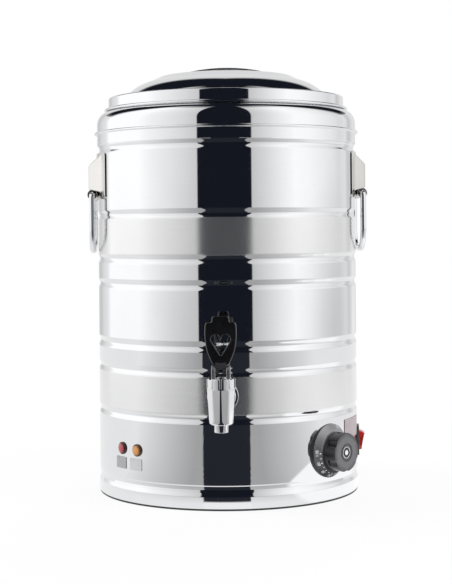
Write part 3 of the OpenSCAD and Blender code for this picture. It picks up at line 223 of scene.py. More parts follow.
def dome_light(turn, k):
    """Dark overhead and in front, light behind the urn up to high above it."""
    e = roof_start + 2 * k
    flat = cos(radians(e))
    back = -flat * cos(radians(turn)) - 0.55 * flat * abs(sin(radians(turn)))
    limit = 80 - 50 * unit((abs(turn) - 95) / 33)
    sides = 0 if in_gap(turn) else unit((limit - e) / 18)
    light = max(0.80 * unit((back - 0.40) / 0.12), tent_level(turn, 1) * sides)
    return light if light > 0.02 else dark_cloth


def floor_light(turn, k):
    """Pale paper with a dark lane in front, and a white sweep on the right."""
    r = floor_rows[k][0]
    d = r - urn_r
    lane = []
    for seat in (-10.5, 8.9):
        a = radians(seat)
        b = 2.1 * a
        lane.append(degrees(atan2(urn_r * sin(a) + d * sin(b), urn_r * cos(a) + d * cos(b))))
    if lane[0] < turn < lane[1]:
        return dark_floor if r > 0.22 else white_card
    near = 0.95
    away = 0.42 + 0.5 * unit((abs(turn) - 24) / 55)
    plain = near + (away - near) * unit((r - 0.2) / 0.12)
    start, end = 36, 112
    if not start < turn < end:
        return plain
    sweep = urn_r + 0.16 + 0.0058 * (turn - 40)
    white = unit((sweep - r) / 0.012) * min(1, (turn - start) / 5) * min(1, (end - turn) / 12)
    return plain + (1.12 - plain) * white


tent_piece("tent_wall", wall_rows, wall_light)
tent_piece("tent_roof", dome_rows, dome_light)
tent_piece("tent_floor", floor_rows, floor_light)

lamp_far, lamp_aim = 2.1, 0.2
for name, turn, power in (("left_softbox", -100, 26), ("right_softbox", 56, 22), ("top_softbox", 170, 12)):
    lamp = bpy.data.lights.new(name, "AREA")
    lamp.shape = "RECTANGLE"
    lamp.size = 1.2
    lamp.size_y = 1.4
    lamp.energy = power
    obj = linked(name, lamp)
    obj.location = around(lamp_far, turn + camera_turn, wall_top)
    obj.rotation_euler = (Vector((0, 0, lamp_aim)) - obj.location).to_track_quat("-Z", "Y").to_euler()
    obj.visible_glossy = False
    obj.visible_camera = False


# ---------- Foot ring and base ring ----------
# A moulded rubber ring that the urn stands on, under a spun steel base ring with one rolled
# groove. The base ring's collar slips inside the lower edge of the shell and is spot-welded.
def rounded(corners, steps=6):
    """Points of an outline whose corners (x, z, radius) are rounded."""
    path = []
    for i, corner in enumerate(corners):
        here = Vector(corner[:2])
        r = corner[2] if len(corner) > 2 else 0
        before = Vector(corners[i - 1][:2]) - here
        after = Vector(corners[(i + 1) % len(corners)][:2]) - here
        turn = before.angle(after, pi) if before.length and after.length else pi
        if r <= 0 or turn > 3.13:
            path.append((here.x, here.y))
            continue
        reach = min(r / tan(turn / 2), 0.48 * before.length, 0.48 * after.length)
        r = reach * tan(turn / 2)
        middle = here + (before.normalized() + after.normalized()).normalized() * (r / sin(turn / 2))
        arm = here + before.normalized() * reach - middle
        sign = 1 if before.x * after.y - before.y * after.x < 0 else -1
        for k in range(steps + 1):
            a = sign * (pi - turn) * k / steps
            path.append((middle.x + arm.x * cos(a) - arm.y * sin(a),
                         middle.y + arm.x * sin(a) + arm.y * cos(a)))
    return path


def heading(path, i, closed=False):
    """Direction of a path at its point i."""
    before = i - 1 if closed else max(i - 1, 0)
    after = (i + 1) % len(path) if closed else min(i + 1, len(path) - 1)
    return (Vector(path[after]) - Vector(path[before])).normalized()


def sheet_of(path, t):
    """A closed outline: the path, and the path moved to its right by t and walked back."""
    inner = []
    for i, p in enumerate(path):
        d = heading(path, i)
        inner.append((p[0] + d.y * t, p[1] - d.x * t))
    return list(path) + inner[::-1]


def with_edges(path, edge=0.0005):
    """The closed path with a point close to each end of its long straight runs."""
    out = []
    for a, b in zip(path, path[1:] + path[:1]):
        a = Vector(a)
        run = Vector(b) - a
        out.append(tuple(a))
        if run.length > 5 * edge:
            d = run.normalized() * edge
            out += [tuple(a + d), tuple(a + run - d)]
    return out


def join_mesh(*parts):
    """Several (verts, faces) as one."""
    verts, faces = [], []
    for v, f in parts:
        k = len(verts)
        verts += list(v)
        faces += [tuple(i + k for i in face) for face in f]
    return verts, faces


def spun(path, turns=256, wave=None):
    """Verts and faces of a closed outline (radius, height) turned round the axis.
    wave(angle, radius, height) gives another radius, for flats and notches."""
    verts, faces, rows = [], [], []
    for r, z in path:
        if r < 1e-6:
            rows.append([len(verts)] * turns)
            verts.append((0, 0, z))
            continue
        rows.append(range(len(verts), len(verts) + turns))
        for i in range(turns):
            a = 2 * pi * i / turns
            q = wave(a, r, z) if wave else r
            verts.append((q * cos(a), q * sin(a), z))
    for k in range(len(path)):
        low, high = rows[k - 1], rows[k]
        for i in range(turns):
            j = (i + 1) % turns
            face = tuple(dict.fromkeys((low[i], low[j], high[j], high[i])))
            if len(face) > 2:
                faces.append(face)
    return verts, faces


def solid(name, shape):
    """An object of (verts, faces), with its faces turned outwards."""
    mesh = bpy.data.meshes.new(name)
    mesh.from_pydata([tuple(v) for v in shape[0]], [], shape[1])
    shaped = bmesh.new()
    shaped.from_mesh(mesh)
    bmesh.ops.recalc_face_normals(shaped, faces=shaped.faces)
    shaped.to_mesh(mesh)
    shaped.free()
    return linked(name, mesh)


def mesh_of(obj):
    """The object's mesh with its modifiers applied, or its curve filled."""
    bpy.context.view_layer.update()
    return bpy.data.meshes.new_from_object(obj.evaluated_get(bpy.context.evaluated_depsgraph_get()))


def piece(name, shape, material, nodes, body="body", place=None, sharp=32, cuts=(), joins=(),
          bores=()):
    """A piece of the urn: its mesh, finish, the solids that it stands for and its body. Shapes are
    first cut away from it, then joined to it, then bored out of it."""
    obj = solid(name, shape)
    for operation, tools in (("DIFFERENCE", cuts), ("UNION", joins), ("DIFFERENCE", bores)):
        for shape in tools:
            tool = solid("cutter", shape)
            m = obj.modifiers.new("cut", "BOOLEAN")
            m.operation = operation
            m.solver = "EXACT"
            m.object = tool
            fresh = mesh_of(obj)
            obj.modifiers.clear()
            obj.data = fresh
            bpy.data.objects.remove(tool)
    mesh = obj.data
    mesh.name = name
    mesh.materials.clear()
    finishes = material if isinstance(material, list) else [material]
    for m in finishes:
        mesh.materials.append(m)
    mesh.shade_smooth()
    mesh.set_sharp_from_angle(angle=radians(sharp))
    if place is not None:
        obj.matrix_world = place
    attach(obj, body)
    if nodes:
        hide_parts(*nodes)
    return obj


def group(name, inputs, outputs=("Tone", "Gloss", "Height")):
    """A shader group of number or vector inputs and number outputs, and its place socket."""
    g = bpy.data.node_groups.new(name, "ShaderNodeTree")
    for label, value in inputs.items():
        kind = "NodeSocketVector" if isinstance(value, tuple) else "NodeSocketFloat"
        g.interface.new_socket(label, in_out="INPUT", socket_type=kind).default_value = value
    for label in outputs:
        g.interface.new_socket(label, in_out="OUTPUT", socket_type="NodeSocketFloat")
    where = add(g, "TexCoord").outputs["Object"]
    return g, g.nodes.new("NodeGroupInput").outputs, g.nodes.new("NodeGroupOutput").inputs, where


def noise(tree, vector, scale, detail=3, rough=0.55):
    values = {"Vector": vector, "Scale": scale, "Detail": detail, "Roughness": rough}
    return add(tree, "TexNoise", values).outputs["Fac"]


def stretched(tree, vector, by):
    return add(tree, "VectorMath", {0: vector, 1: by}, operation="MULTIPLY").outputs[0]


def mixed(tree, *shares):
    """The sum of values, each times its share."""
    *parts, total = [calc(tree, "MULTIPLY", value, share) for value, share in shares]
    for part in reversed(parts):
        total = calc(tree, "ADD", part, total)
    return total


# Marks that rolling, polishing and wiping leave on sheet metal: fine lines, cloudy smears
sheet_marks, given, out, where = group("sheet_marks", {"Lines": (60.0, 60.0, 1400.0), "Smears": 14.0})
lines = noise(sheet_marks, stretched(sheet_marks, where, given["Lines"]), 1.0, 4, 0.7)
smears = noise(sheet_marks, where, given["Smears"], 4, 0.6)
wipes = noise(sheet_marks, stretched(sheet_marks, where, (1.0, 1.0, 0.35)), 55.0, 3, 0.5)
wire(sheet_marks, (mixed(sheet_marks, (lines, 0.45), (smears, 0.55)), out["Tone"]),
     (mixed(sheet_marks, (smears, 0.5), (wipes, 0.3), (lines, 0.2)), out["Gloss"]), (lines, out["Height"]))

# Grain of a moulded or cast surface, with rubbed edges
moulded_grain, given, out, where = group("moulded_grain", {"Grain": 900.0, "Cloud": 22.0},
                                         ("Tone", "Gloss", "Height", "Edge"))
specks = noise(moulded_grain, where, given["Grain"], 4, 0.6)
clouds = noise(moulded_grain, where, given["Cloud"], 3, 0.5)
cell_scale = calc(moulded_grain, "MULTIPLY", given["Grain"], 0.6)
cells = add(moulded_grain, "TexVoronoi", {"Vector": where, "Scale": cell_scale}).outputs["Distance"]
edge = add(moulded_grain, "NewGeometry").outputs["Pointiness"]
rubbed = calc(moulded_grain, "SUBTRACT", edge, 0.52, True)
wire(moulded_grain, (mixed(moulded_grain, (specks, 0.4), (clouds, 0.6)), out["Tone"]),
     (mixed(moulded_grain, (clouds, 0.6), (specks, 0.4)), out["Gloss"]),
     (mixed(moulded_grain, (specks, 0.6), (cells, 0.4)), out["Height"]),
     (calc(moulded_grain, "MULTIPLY", rubbed, 9, True), out["Edge"]))


def finish(name, marks, low, high, gloss, bump=0.02, depth=0.0002, edge=None, values=(), **own):
    """A finish: two tints mixed by the marks' tone, gloss between two roughnesses, a bump of
    the marks' height, a tint of the rubbed edges, values for the marks' inputs in their
    order, and the shader's own plain values."""
    material, tree, shader = new_material(name)
    for label, value in own.items():
        shader.inputs[label.replace("_", " ")].default_value = value
    g = add(tree, "Group", dict(enumerate(values)), node_tree=marks).outputs
    spread = add(tree, "MapRange", {"Value": g["Tone"], "From Min": 0.35, "From Max": 0.65})
    tint = add(tree, "Mix", {"Factor": spread.outputs["Result"], "A": (*low, 1), "B": (*high, 1)},
               data_type="RGBA").outputs["Result"]
    if edge:
        tint = add(tree, "Mix", {"Factor": g["Edge"], "A": tint, "B": (*edge, 1)},
                   data_type="RGBA").outputs["Result"]
    rough = add(tree, "MapRange", {"Value": g["Gloss"], "From Min": 0.3, "From Max": 0.7,
                                   "To Min": gloss[0], "To Max": gloss[1]})
    raised = add(tree, "Bump", {"Strength": bump, "Distance": depth, "Height": g["Height"]})
    wire(tree, (tint, shader.inputs["Base Color"]), (rough.outputs["Result"], shader.inputs["Roughness"]),
         (raised.outputs["Normal"], shader.inputs["Normal"]))
    return material


black_rubber = finish("black_rubber", moulded_grain, (0.022, 0.022, 0.024), (0.045, 0.045, 0.048),
                      (0.5, 0.75), 0.25, 0.0003, (0.09, 0.09, 0.095))
polished_steel = finish("polished_steel", sheet_marks, (0.80, 0.805, 0.82), (0.84, 0.845, 0.855),
                        (0.02, 0.06), 0.012, 0.0001, Metallic=1)

body_r = 0.165
sheet_t = 0.001
shell_z = 0.0285
collar_r = 0.1658
spigot_r = 0.1637
lap_h = 0.011
foot_in, foot_top = 0.158, 0.002
foot_path = rounded([(foot_in, 0, 0.0006), (body_r, 0, 0.0006), (body_r, foot_top, 0.0004),
                     (foot_in, foot_top, 0.0004)], 4)
piece("rubber_foot", spun(foot_path), black_rubber, ["foot_ring"])

base_path = rounded([(0.1458, foot_top, 0.0004), (collar_r, foot_top, 0.0014), (collar_r, 0.0166, 0.004),
                     (spigot_r + 0.0006, 0.0212, 0.004), (spigot_r, 0.0245, 0.003),
                     (spigot_r, shell_z + lap_h)], 8)
piece("base_band", spun(with_edges(sheet_of(base_path, -sheet_t))), polished_steel, ["base_ring"])

# ---------- Outer shell ----------
# A rolled and seam-welded stainless cylinder with seven grooves. Two bands of it are left
# with a fine brushed grain that runs round the body; the rest is mirror polished.
satin_steel = finish("satin_steel", sheet_marks, (0.78, 0.78, 0.785), (0.85, 0.85, 0.85), (0.19, 0.26),
                     0.04, 0.0002, None, ((8.0, 8.0, 2600.0), 5.0), Metallic=0.92, Anisotropic=0.95,
                     Anisotropic_Rotation=0.25)
tree = satin_steel.node_tree
brush = add(tree, "Tangent", direction_type="RADIAL", axis="Z")
wire(tree, (brush.outputs[0], tree.nodes["Principled BSDF"].inputs["Tangent"]))

joint_z = 0.438
neck_r = 0.1645
groove_z = (0.1075, 0.1619, 0.1927, 0.2649, 0.2957, 0.3501, 0.4330)
groove_half = 0.005
groove_depth = 0.002


def groove(z, steps=14):
    """A rolled groove in the wall, drawn upwards, with its edges eased into the wall."""
    ease = 1.25 * groove_half
    return [(body_r - groove_depth * (0.5 + 0.5 * cos(pi * u / ease)) ** 0.8, z + u)
            for u in (ease * (2 * i / steps - 1) for i in range(steps + 1))]


shell_path = [(body_r - 0.0012, shell_z), (body_r - 0.0003, shell_z + 0.0004), (body_r, shell_z + 0.0014)]
for z in groove_z:
    shell_path += [p for p in groove(z) if p[1] <= joint_z - 0.0012]
shell_path += [(neck_r, joint_z), (neck_r, joint_z + lap_h)]


def moved(x=0.0, y=0.0, z=0.0):
    return Matrix.Translation((x, y, z))


def turned(angle, axis):
    return Matrix.Rotation(radians(angle), 4, axis)


def on_shell(angle, z):
    """Frame on the shell: x to the right, y up, z outwards from the axis."""
    return moved(z=z) @ turned(angle, "Z") @ turned(90, "X")


def placed(shape, place):
    return [place @ Vector(v) for v in shape[0]], shape[1]


def walls(rings, n, closed=False):
    """Faces between rings of n points, and from the last ring to the first if closed."""
    pairs = [(k, (k + 1) % rings) for k in range(rings if closed else rings - 1)]
    return [(k * n + i, k * n + (i + 1) % n, j * n + (i + 1) % n, j * n + i)
            for k, j in pairs for i in range(n)]


def lofted(rings):
    """A shape through rings of points, with a face on its first and its last ring."""
    n = len(rings[0])
    verts = [v for ring in rings for v in ring]
    ends = [tuple(range(n)), tuple(range(len(verts) - 1, len(verts) - n - 1, -1))]
    return verts, walls(len(rings), n) + ends


def raised(outline, levels):
    """A shape of a flat outline at each level, with a face on its foot and its top."""
    n = len(outline(0))
    verts = [(x, y, z) for z, d in levels for x, y in outline(d)]
    ends = [tuple(range(n - 1, -1, -1)), tuple(range(len(verts) - n, len(verts)))]
    return verts, walls(len(levels), n), ends


def prism(outline, low, high):
    verts, sides, ends = raised(lambda d: outline, ((low, 0), (high, 0)))
    return verts, ends + sides


def oblong(w, h, r, steps=6):
    return rounded([(-w / 2, -h / 2, r), (w / 2, -h / 2, r), (w / 2, h / 2, r), (-w / 2, h / 2, r)], steps)


def slab(w, h, low, high, r=0.0):
    """A block w by h from low to high along z, with corners of radius r."""
    return prism(oblong(w, h, r, 5), low, high)


def rod_of(r, low, high, sides=32):
    turns = [2 * pi * i / sides for i in range(sides)]
    return prism([(r * cos(a), r * sin(a)) for a in turns], low, high)


dial_angle, dial_z = 50, 0.062
lamp_angles, lamp_z = {"red": -49.2, "amber": -39.6}, 0.066
switch_angle, switch_z = 87, 0.061
inlet_angle, inlet_z = 180, 0.060
tap_z = 0.1355
tap_hole_r, dial_hole_r, lamp_hole_r = 0.0094, 0.006, 0.0062
switch_hole, inlet_hole = (0.0214, 0.0284), (0.0284, 0.0204)
through = (0.155, 0.170)
shell_holes = [
    placed(rod_of(tap_hole_r, *through), on_shell(0, tap_z)),
    placed(rod_of(dial_hole_r, *through), on_shell(dial_angle, dial_z)),
    placed(slab(*switch_hole, *through), on_shell(switch_angle, switch_z)),
    placed(slab(*inlet_hole, *through), on_shell(inlet_angle, inlet_z)),
] + [placed(rod_of(lamp_hole_r, *through), on_shell(a, lamp_z)) for a in lamp_angles.values()]
shell = piece("shell", spun(with_edges(sheet_of(shell_path, -sheet_t)), 288), [polished_steel, satin_steel],
              ["outer_shell"], cuts=[join_mesh(*shell_holes)])
satin_bands = ((0.1119, 0.1575), (0.3001, 0.3457))
for face in shell.data.polygons:
    face.material_index = 1 if any(a < face.center.z < b for a, b in satin_bands) else 0

# ---------- Rim collar ----------
# A spun steel collar that closes the gap between shell and tank: a thin rolled bead stands
# out of its wall, and its rounded shoulder turns in to the tank's lip.
def arc_points(x, z, rx, rz, start, end, n):
    """Points of an arc round (x, z), at angles upwards from its right side."""
    turns = [radians(start + (end - start) * i / n) for i in range(n + 1)]
    return [(x + rx * cos(a), z + rz * sin(a)) for a in turns]


collar_z, collar_top, lip_r = 0.4383, 0.4815, 0.1483
bead_z, rim_r = collar_z + 0.0153, collar_r + 0.0032
shoulder_w, shoulder_h = 0.015, 0.017
collar_path = [(lip_r, collar_top)]
collar_path += arc_points(collar_r - shoulder_w, collar_top - shoulder_h, shoulder_w, shoulder_h, 90, 0, 28)
collar_path += rounded([(collar_r, collar_top - shoulder_h - 0.001), (collar_r, bead_z + 0.0015, 0.0006),
                        (rim_r, bead_z + 0.0014, 0.0013), (rim_r, bead_z - 0.0014, 0.0013),
                        (collar_r, bead_z - 0.0015, 0.0006), (collar_r, collar_z + 0.0004)], 10)
collar_path.append((collar_r - 0.0003, collar_z))
piece("rim_collar_spun", spun(with_edges(sheet_of(collar_path, sheet_t)), 288), polished_steel,
      ["rim_collar"])


# ---------- Tank ----------
# The welded stainless tank, its gaskets and the heater under it keep their solids, with a
# drawn-sheet finish inside; wool fills the wall between tank and shell.
def keep(material, *names):
    """Gives a finish to solids that are shown as they are."""
    for name in names:
        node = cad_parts[name]
        if not node.material_slots:
            node.data.materials.append(material)
        for holder in node.material_slots:
            holder.material = material


plain_steel = finish("plain_steel", sheet_marks, (0.62, 0.625, 0.64), (0.72, 0.725, 0.735), (0.16, 0.30),
                     0.06, 0.0002, None, ((40.0, 40.0, 900.0), 9.0), Metallic=1)
black_plastic = finish("black_plastic", moulded_grain, (0.018, 0.018, 0.02), (0.032, 0.032, 0.035),
                       (0.32, 0.46), 0.12, 0.00015, (0.075, 0.075, 0.08), (1600, 30))
keep(plain_steel, "inner_pot", "bottom_cover", "heat_shield", "element_clamp")
keep(black_plastic, "thermostat_body", "thermal_cutout", "lamp_nuts")
keep(black_rubber, "tap_gasket", "pot_gasket", "tap_seal")
keep(finish("zinc_steel", moulded_grain, (0.55, 0.56, 0.58), (0.72, 0.73, 0.74), (0.22, 0.42), 0.08, 0.0001,
            (0.85, 0.85, 0.86), (1500, 60), Metallic=1),
     "bottom_screws", "stud_nuts", "thermostat_screws", "cutout_screws", "inlet_screws", "bulb_clip",
     "tap_spring", "tap_nut", "tap_stem")
keep(finish("cast_aluminium", moulded_grain, (0.50, 0.51, 0.52), (0.64, 0.65, 0.66), (0.45, 0.65), 0.35,
            0.0004, (0.76, 0.76, 0.77), (500, 30), Metallic=1), "heat_plate")
keep(finish("element_steel", moulded_grain, (0.20, 0.16, 0.14), (0.34, 0.30, 0.30), (0.35, 0.55), 0.15,
            0.0002, (0.45, 0.42, 0.40), (700, 45), Metallic=1), "heating_element")
keep(finish("copper", sheet_marks, (0.62, 0.32, 0.20), (0.76, 0.45, 0.32), (0.22, 0.42), 0.08, 0.0001,
            Metallic=1), "thermostat_bulb", "capillary")
keep(finish("brass", sheet_marks, (0.62, 0.47, 0.20), (0.78, 0.62, 0.32), (0.20, 0.36), 0.06, 0.0001,
            Metallic=1), "terminal_screws", "earth_stud", "inlet_pins")
keep(finish("wool", moulded_grain, (0.62, 0.56, 0.40), (0.86, 0.81, 0.66), (0.85, 1.0), 0.9, 0.0012,
            (0.92, 0.88, 0.76), (260, 40)), "insulation", "lid_insulation")
keep(finish("pale_rubber", moulded_grain, (0.62, 0.62, 0.60), (0.74, 0.74, 0.72), (0.45, 0.6), 0.12, 0.0002,
            (0.8, 0.8, 0.78)), "lid_gasket")
keep(finish("ivory_plastic", moulded_grain, (0.74, 0.71, 0.62), (0.84, 0.81, 0.74), (0.4, 0.55), 0.1, 0.0002,
            (0.88, 0.86, 0.8)), "terminal_block")
keep(finish("red_sleeve", moulded_grain, (0.36, 0.05, 0.035), (0.50, 0.09, 0.06), (0.4, 0.55), 0.15, 0.0001,
            (0.6, 0.16, 0.12)), "control_wires")
keep(finish("brown_sleeve", moulded_grain, (0.15, 0.075, 0.035), (0.22, 0.115, 0.06), (0.4, 0.55), 0.15,
            0.0001, (0.32, 0.2, 0.12)), "supply_wires")

# ---------- Lid ----------
# A deep-drawn steel lid: a rolled bead at its lower edge, an upright skirt, a ledge, a
# domed tier and a crown with a round dish under the handle. A pressed liner closes it.
lid_z, skirt_r, skirt_top, ledge_fold = 0.4836, 0.1508, 0.4992, 0.002
crown_z, dish_z, dish_r, dish_fold = 0.5272, 0.5087, 0.052, 0.004
crown_r, crown_edge = 0.079, 0.0194
bead_x, bead_r = 0.1542, 0.0018
# The dome is the part from foot_turn to brow_turn of an ellipse with these half axes
dome_r, foot_turn, brow_turn = 0.130, 35, 76
dome_rx, dome_rz = 0.033 / 0.57723, 0.0213 / 0.39672
dome_x, dome_z = dome_r - dome_rx * cos(radians(foot_turn)), skirt_top - dome_rz * sin(radians(foot_turn))
lid_path = [(0, dish_z)]
lid_path += arc_points(dish_r - dish_fold, dish_z + dish_fold, dish_fold, dish_fold, -90, 0, 8)
lid_path += arc_points(dish_r + dish_fold, crown_z - dish_fold, dish_fold, dish_fold, 180, 90, 8)
lid_path += arc_points(crown_r, crown_z - crown_edge, crown_edge, crown_edge, 90, 64, 12)
lid_path += arc_points(dome_x, dome_z, dome_rx, dome_rz, brow_turn, foot_turn + 1, 32)
lid_path += [(dome_r + 0.0004, skirt_top + 0.0003), (dome_r + 0.0014, skirt_top)]
lid_path += arc_points(skirt_r - ledge_fold, skirt_top - ledge_fold, ledge_fold, ledge_fold, 90, 0, 8)
lid_path += arc_points(skirt_r + 0.0012, lid_z + 0.0017, 0.0012, 0.0012, 180, 270, 5)
lid_inner = [p for p in sheet_of(lid_path, sheet_t)[len(lid_path):] if p[1] > lid_z + 0.0008]
lid_path += arc_points(bead_x, lid_z, bead_r, bead_r, 162, -162, 20)
lid_path += [(bead_x - bead_r, lid_z - 0.0005), (skirt_r - sheet_t + 0.0006, lid_z - 0.0005),
             (skirt_r - sheet_t, lid_z)]
piece("lid_cover", spun(with_edges(lid_path + lid_inner), 288), polished_steel, ["lid_shell"], body="lid")

plug_r, plug_floor, liner_z, flange_r = 0.1452, 0.4702, 0.485, 0.1496
plug_in, liner_top = plug_r - sheet_t, liner_z + sheet_t
liner_path = rounded([(0, plug_floor - sheet_t), (plug_r, plug_floor - sheet_t, 0.003),
                      (plug_r, liner_z, 0.0006), (flange_r, liner_z), (flange_r, liner_top),
                      (plug_in, liner_top, 0.0012), (plug_in, plug_floor, 0.002), (0, plug_floor)], 6)
piece("lid_plug", spun(with_edges(liner_path), 192), plain_steel, ["lid_liner"], body="lid")

# ---------- Lid handle ----------
# A bowed strap of thick steel across the dish, polished, with rounded edges and ends, held
# by two domed rivets at each end.
strap_w, strap_t, strap_half, strap_end_r = 0.024, 0.0025, 0.072, 0.007
strap_edge, strap_bend, strap_foot_x, strap_step = 0.0009, 0.004, 0.0585, 0.0012
rivet_x, rivet_y = 0.065, 0.006
handle_top = 0.538
bow_r, bow_half, bow_steps = 0.230, 0.05, 12
foot_mid = crown_z + strap_t / 2


def strap_middle():
    """Middle line of the strap, from its right end to its left end."""
    top = handle_top - strap_t / 2
    half = [(strap_half, foot_mid), (strap_foot_x, foot_mid, strap_bend)]
    for k in range(bow_steps, 0, -1):
        x = bow_half * k / bow_steps
        half.append((x, top - bow_r + sqrt(bow_r ** 2 - x ** 2), strap_bend if k == bow_steps else 0))
    line = half + [(0, top)] + [(-p[0], *p[1:]) for p in reversed(half)]
    soft = rounded([(strap_half + 0.05, foot_mid)] + line + [(-strap_half - 0.05, foot_mid)], 5)[1:-1]
    out = []
    for a, b in zip(soft, soft[1:]):
        steps = max(1, int(dist(a, b) / strap_step))
        out += [(a[0] + (b[0] - a[0]) * k / steps, a[1] + (b[1] - a[1]) * k / steps) for k in range(steps)]
    return out + [soft[-1]]


def round_off(r, past):
    """How far a corner of radius r has drawn in at a distance past its start."""
    return r - sqrt(max(0, r ** 2 - max(0, past) ** 2))


def strap():
    line = strap_middle()
    lengths = [0]
    for a, b in zip(line, line[1:]):
        lengths.append(lengths[-1] + dist(a, b))
    rings = []
    for i, (x, z) in enumerate(line):
        d = heading(line, i)
        tuck = 0.85 * round_off(strap_end_r, strap_end_r - min(lengths[i], lengths[-1] - lengths[i]))
        ring = oblong(strap_w - 2 * tuck, strap_t, strap_edge, 4)
        rings.append([(x - d.y * v, u, z + d.x * v) for u, v in ring])
    return lofted(rings)


piece("lid_strap", strap(), plain_steel, ["lid_handle"], body="lid")

head_r, shank_r, head_z = 0.004, 0.002, crown_z + strap_t
rivet_path = [(0, crown_z - 0.0026), (head_r - 0.0004, crown_z - 0.0026), (head_r, crown_z - 0.0022),
              (head_r, crown_z - sheet_t), (shank_r, crown_z - sheet_t), (shank_r, head_z),
              (head_r - 0.0004, head_z)] + arc_points(0, head_z - 0.0012, head_r, 0.0028, 25, 90, 8)
rivets = [placed(spun(rivet_path, 32), moved(x * rivet_x, y * rivet_y)) for x in (-1, 1) for y in (-1, 1)]
piece("handle_rivet_heads", join_mesh(*rivets), plain_steel, ["handle_rivets"], body="lid")

# ---------- Side handles ----------
# Each side has a pressed steel bracket, spot-welded to the shell: a curved plate with a box
# pressed out of it, whose lower edge is rolled round the rod of a loose ring.
handle_turn = 5
plate_in, plate_t = 0.1652, 0.0015
plate_out = plate_in + plate_t
plate_low, plate_top, plate_corner = 0.370, 0.428, 0.005
plate_w, plate_h = 2 * plate_out * sin(radians(22.5)), plate_top - plate_low
plate_columns, plate_levels = 96, 84
barrel_x, barrel_z, barrel_r, barrel_bore, barrel_half = 0.17115, 0.376, 0.00645, 0.00385, 0.0359
box_out, box_foot = 0.17565, barrel_half + 0.014
box_top, box_shoulder, box_low = 0.420, 0.4115, 0.38145
rod_r, rod_sides, ring_half, ring_h = 0.00375, 24, 0.041, 0.0705
ring_shoulder_r, ring_corner_r = 0.005, 0.027


def soft_min(a, b, k=0.003):
    h = unit(0.5 + 0.5 * (b - a) / k)
    return b + (a - b) * h - k * h * (1 - h)


def bracket_face(y, z):
    """Distance of the plate's outer face from the middle plane of the urn."""
    wall = sqrt(plate_out ** 2 - y * y)
    rise = box_out - plate_in
    side = wall + (box_foot - abs(y)) * rise / (box_foot - barrel_half)
    top = plate_out + (box_top - z) * rise / (box_top - box_shoulder)
    low = plate_out + (z - box_low + 0.0012) * 4
    return -soft_min(-wall, -soft_min(soft_min(box_out, top), soft_min(side, low)), 0.0012)


def bracket_sheet():
    """The plate with its box: a fine grid in front, the same grid set back, and its edge."""
    verts, faces = [], []
    for back in (0, 1):
        for j in range(plate_levels + 1):
            v = (j / plate_levels - 0.5) * plate_h
            z = (plate_low + plate_top) / 2 + v
            pull = round_off(plate_corner, abs(v) - (plate_h / 2 - plate_corner))
            for i in range(plate_columns + 1):
                y = (i / plate_columns - 0.5) * (plate_w - 2 * pull)
                x = bracket_face(y, z)
                verts.append((max(x - plate_t, sqrt(plate_in ** 2 - y * y)) if back else x, y, z))
    w = plate_columns + 1
    n = w * (plate_levels + 1)
    for j in range(plate_levels):
        for i in range(j * w, j * w + plate_columns):
            faces += [(i, i + 1, i + w + 1, i + w), (i + w + n, i + w + 1 + n, i + 1 + n, i + n)]
    rim = list(range(w)) + list(range(2 * w - 1, n, w))
    rim += list(range(n - 2, n - w - 1, -1)) + list(range(n - 2 * w, 0, -w))
    return verts, faces + [(a, a + n, b + n, b) for a, b in zip(rim, rim[1:] + rim[:1])]


def bracket():
    barrel = rounded([(barrel_bore, -barrel_half, 0.0004), (barrel_r, -barrel_half, 0.0008),
                      (barrel_r, barrel_half, 0.0008), (barrel_bore, barrel_half, 0.0004)], 4)
    lying = moved(barrel_x, 0, barrel_z) @ turned(90, "X")
    return join_mesh(bracket_sheet(), placed(spun(barrel, 48), lying))


def ring():
    """The ring's rod, swept round its rounded outline; it hangs from the barrel."""
    line = rounded([(-ring_half, 0, ring_shoulder_r), (ring_half, 0, ring_shoulder_r),
                    (ring_half, -ring_h, ring_corner_r), (-ring_half, -ring_h, ring_corner_r)], 14)
    line = with_edges(line, 0.002)
    verts = []
    for i, (y, z) in enumerate(line):
        d = heading(line, i, True)
        for k in range(rod_sides):
            t = 2 * pi * k / rod_sides
            out = rod_r * cos(t)
            verts.append((barrel_x + rod_r * sin(t), y + d.y * out, barrel_z + z - d.x * out))
    return verts, walls(len(line), rod_sides, True)


bracket_steel = finish("bracket_steel", sheet_marks, (0.68, 0.675, 0.65), (0.76, 0.75, 0.73), (0.08, 0.16),
                       0.03, 0.0001, Metallic=1)
for side, turn in (("right", 0), ("left", 180)):
    place = turned(handle_turn + turn, "Z")
    piece(side + "_bracket_pressed", placed(bracket(), place), bracket_steel, [side + "_bracket"],
          sharp=40)
    piece(side + "_ring_rod", placed(ring(), place), polished_steel, [side + "_ring"], body=side + "_ring")

# ---------- Tap ----------
# A chromed brass tap screwed through shell and tank: a round stepped flange, a tapered barrel
# of ten flats with a plain nozzle, and a castellated bonnet with two posts for the lever.
chrome_grain = ((500.0, 500.0, 500.0), 60.0)
chrome = finish("chrome", sheet_marks, (0.80, 0.80, 0.82), (0.85, 0.85, 0.865), (0.02, 0.07), 0.015, 0.0001,
                None, chrome_grain, Metallic=1)
satin_chrome = finish("satin_chrome", sheet_marks, (0.50, 0.50, 0.51), (0.62, 0.62, 0.63), (0.32, 0.42),
                      0.05, 0.0001, None, chrome_grain, Metallic=1)
tap_y = -0.213
at_tap, tap_axis = moved(0, tap_y), on_shell(0, tap_z)
low_z, top_z = 0.1087, 0.149
low_r, top_r = 0.014, 0.0165
chamber_r, chamber_z, throat_r, throat_z, nozzle_r, nozzle_in = 0.010, 0.122, 0.005, 0.1117, 0.0082, 0.006
tube_r, tube_front, tube_end = 0.009, 0.1243, 0.2055
flats = 10


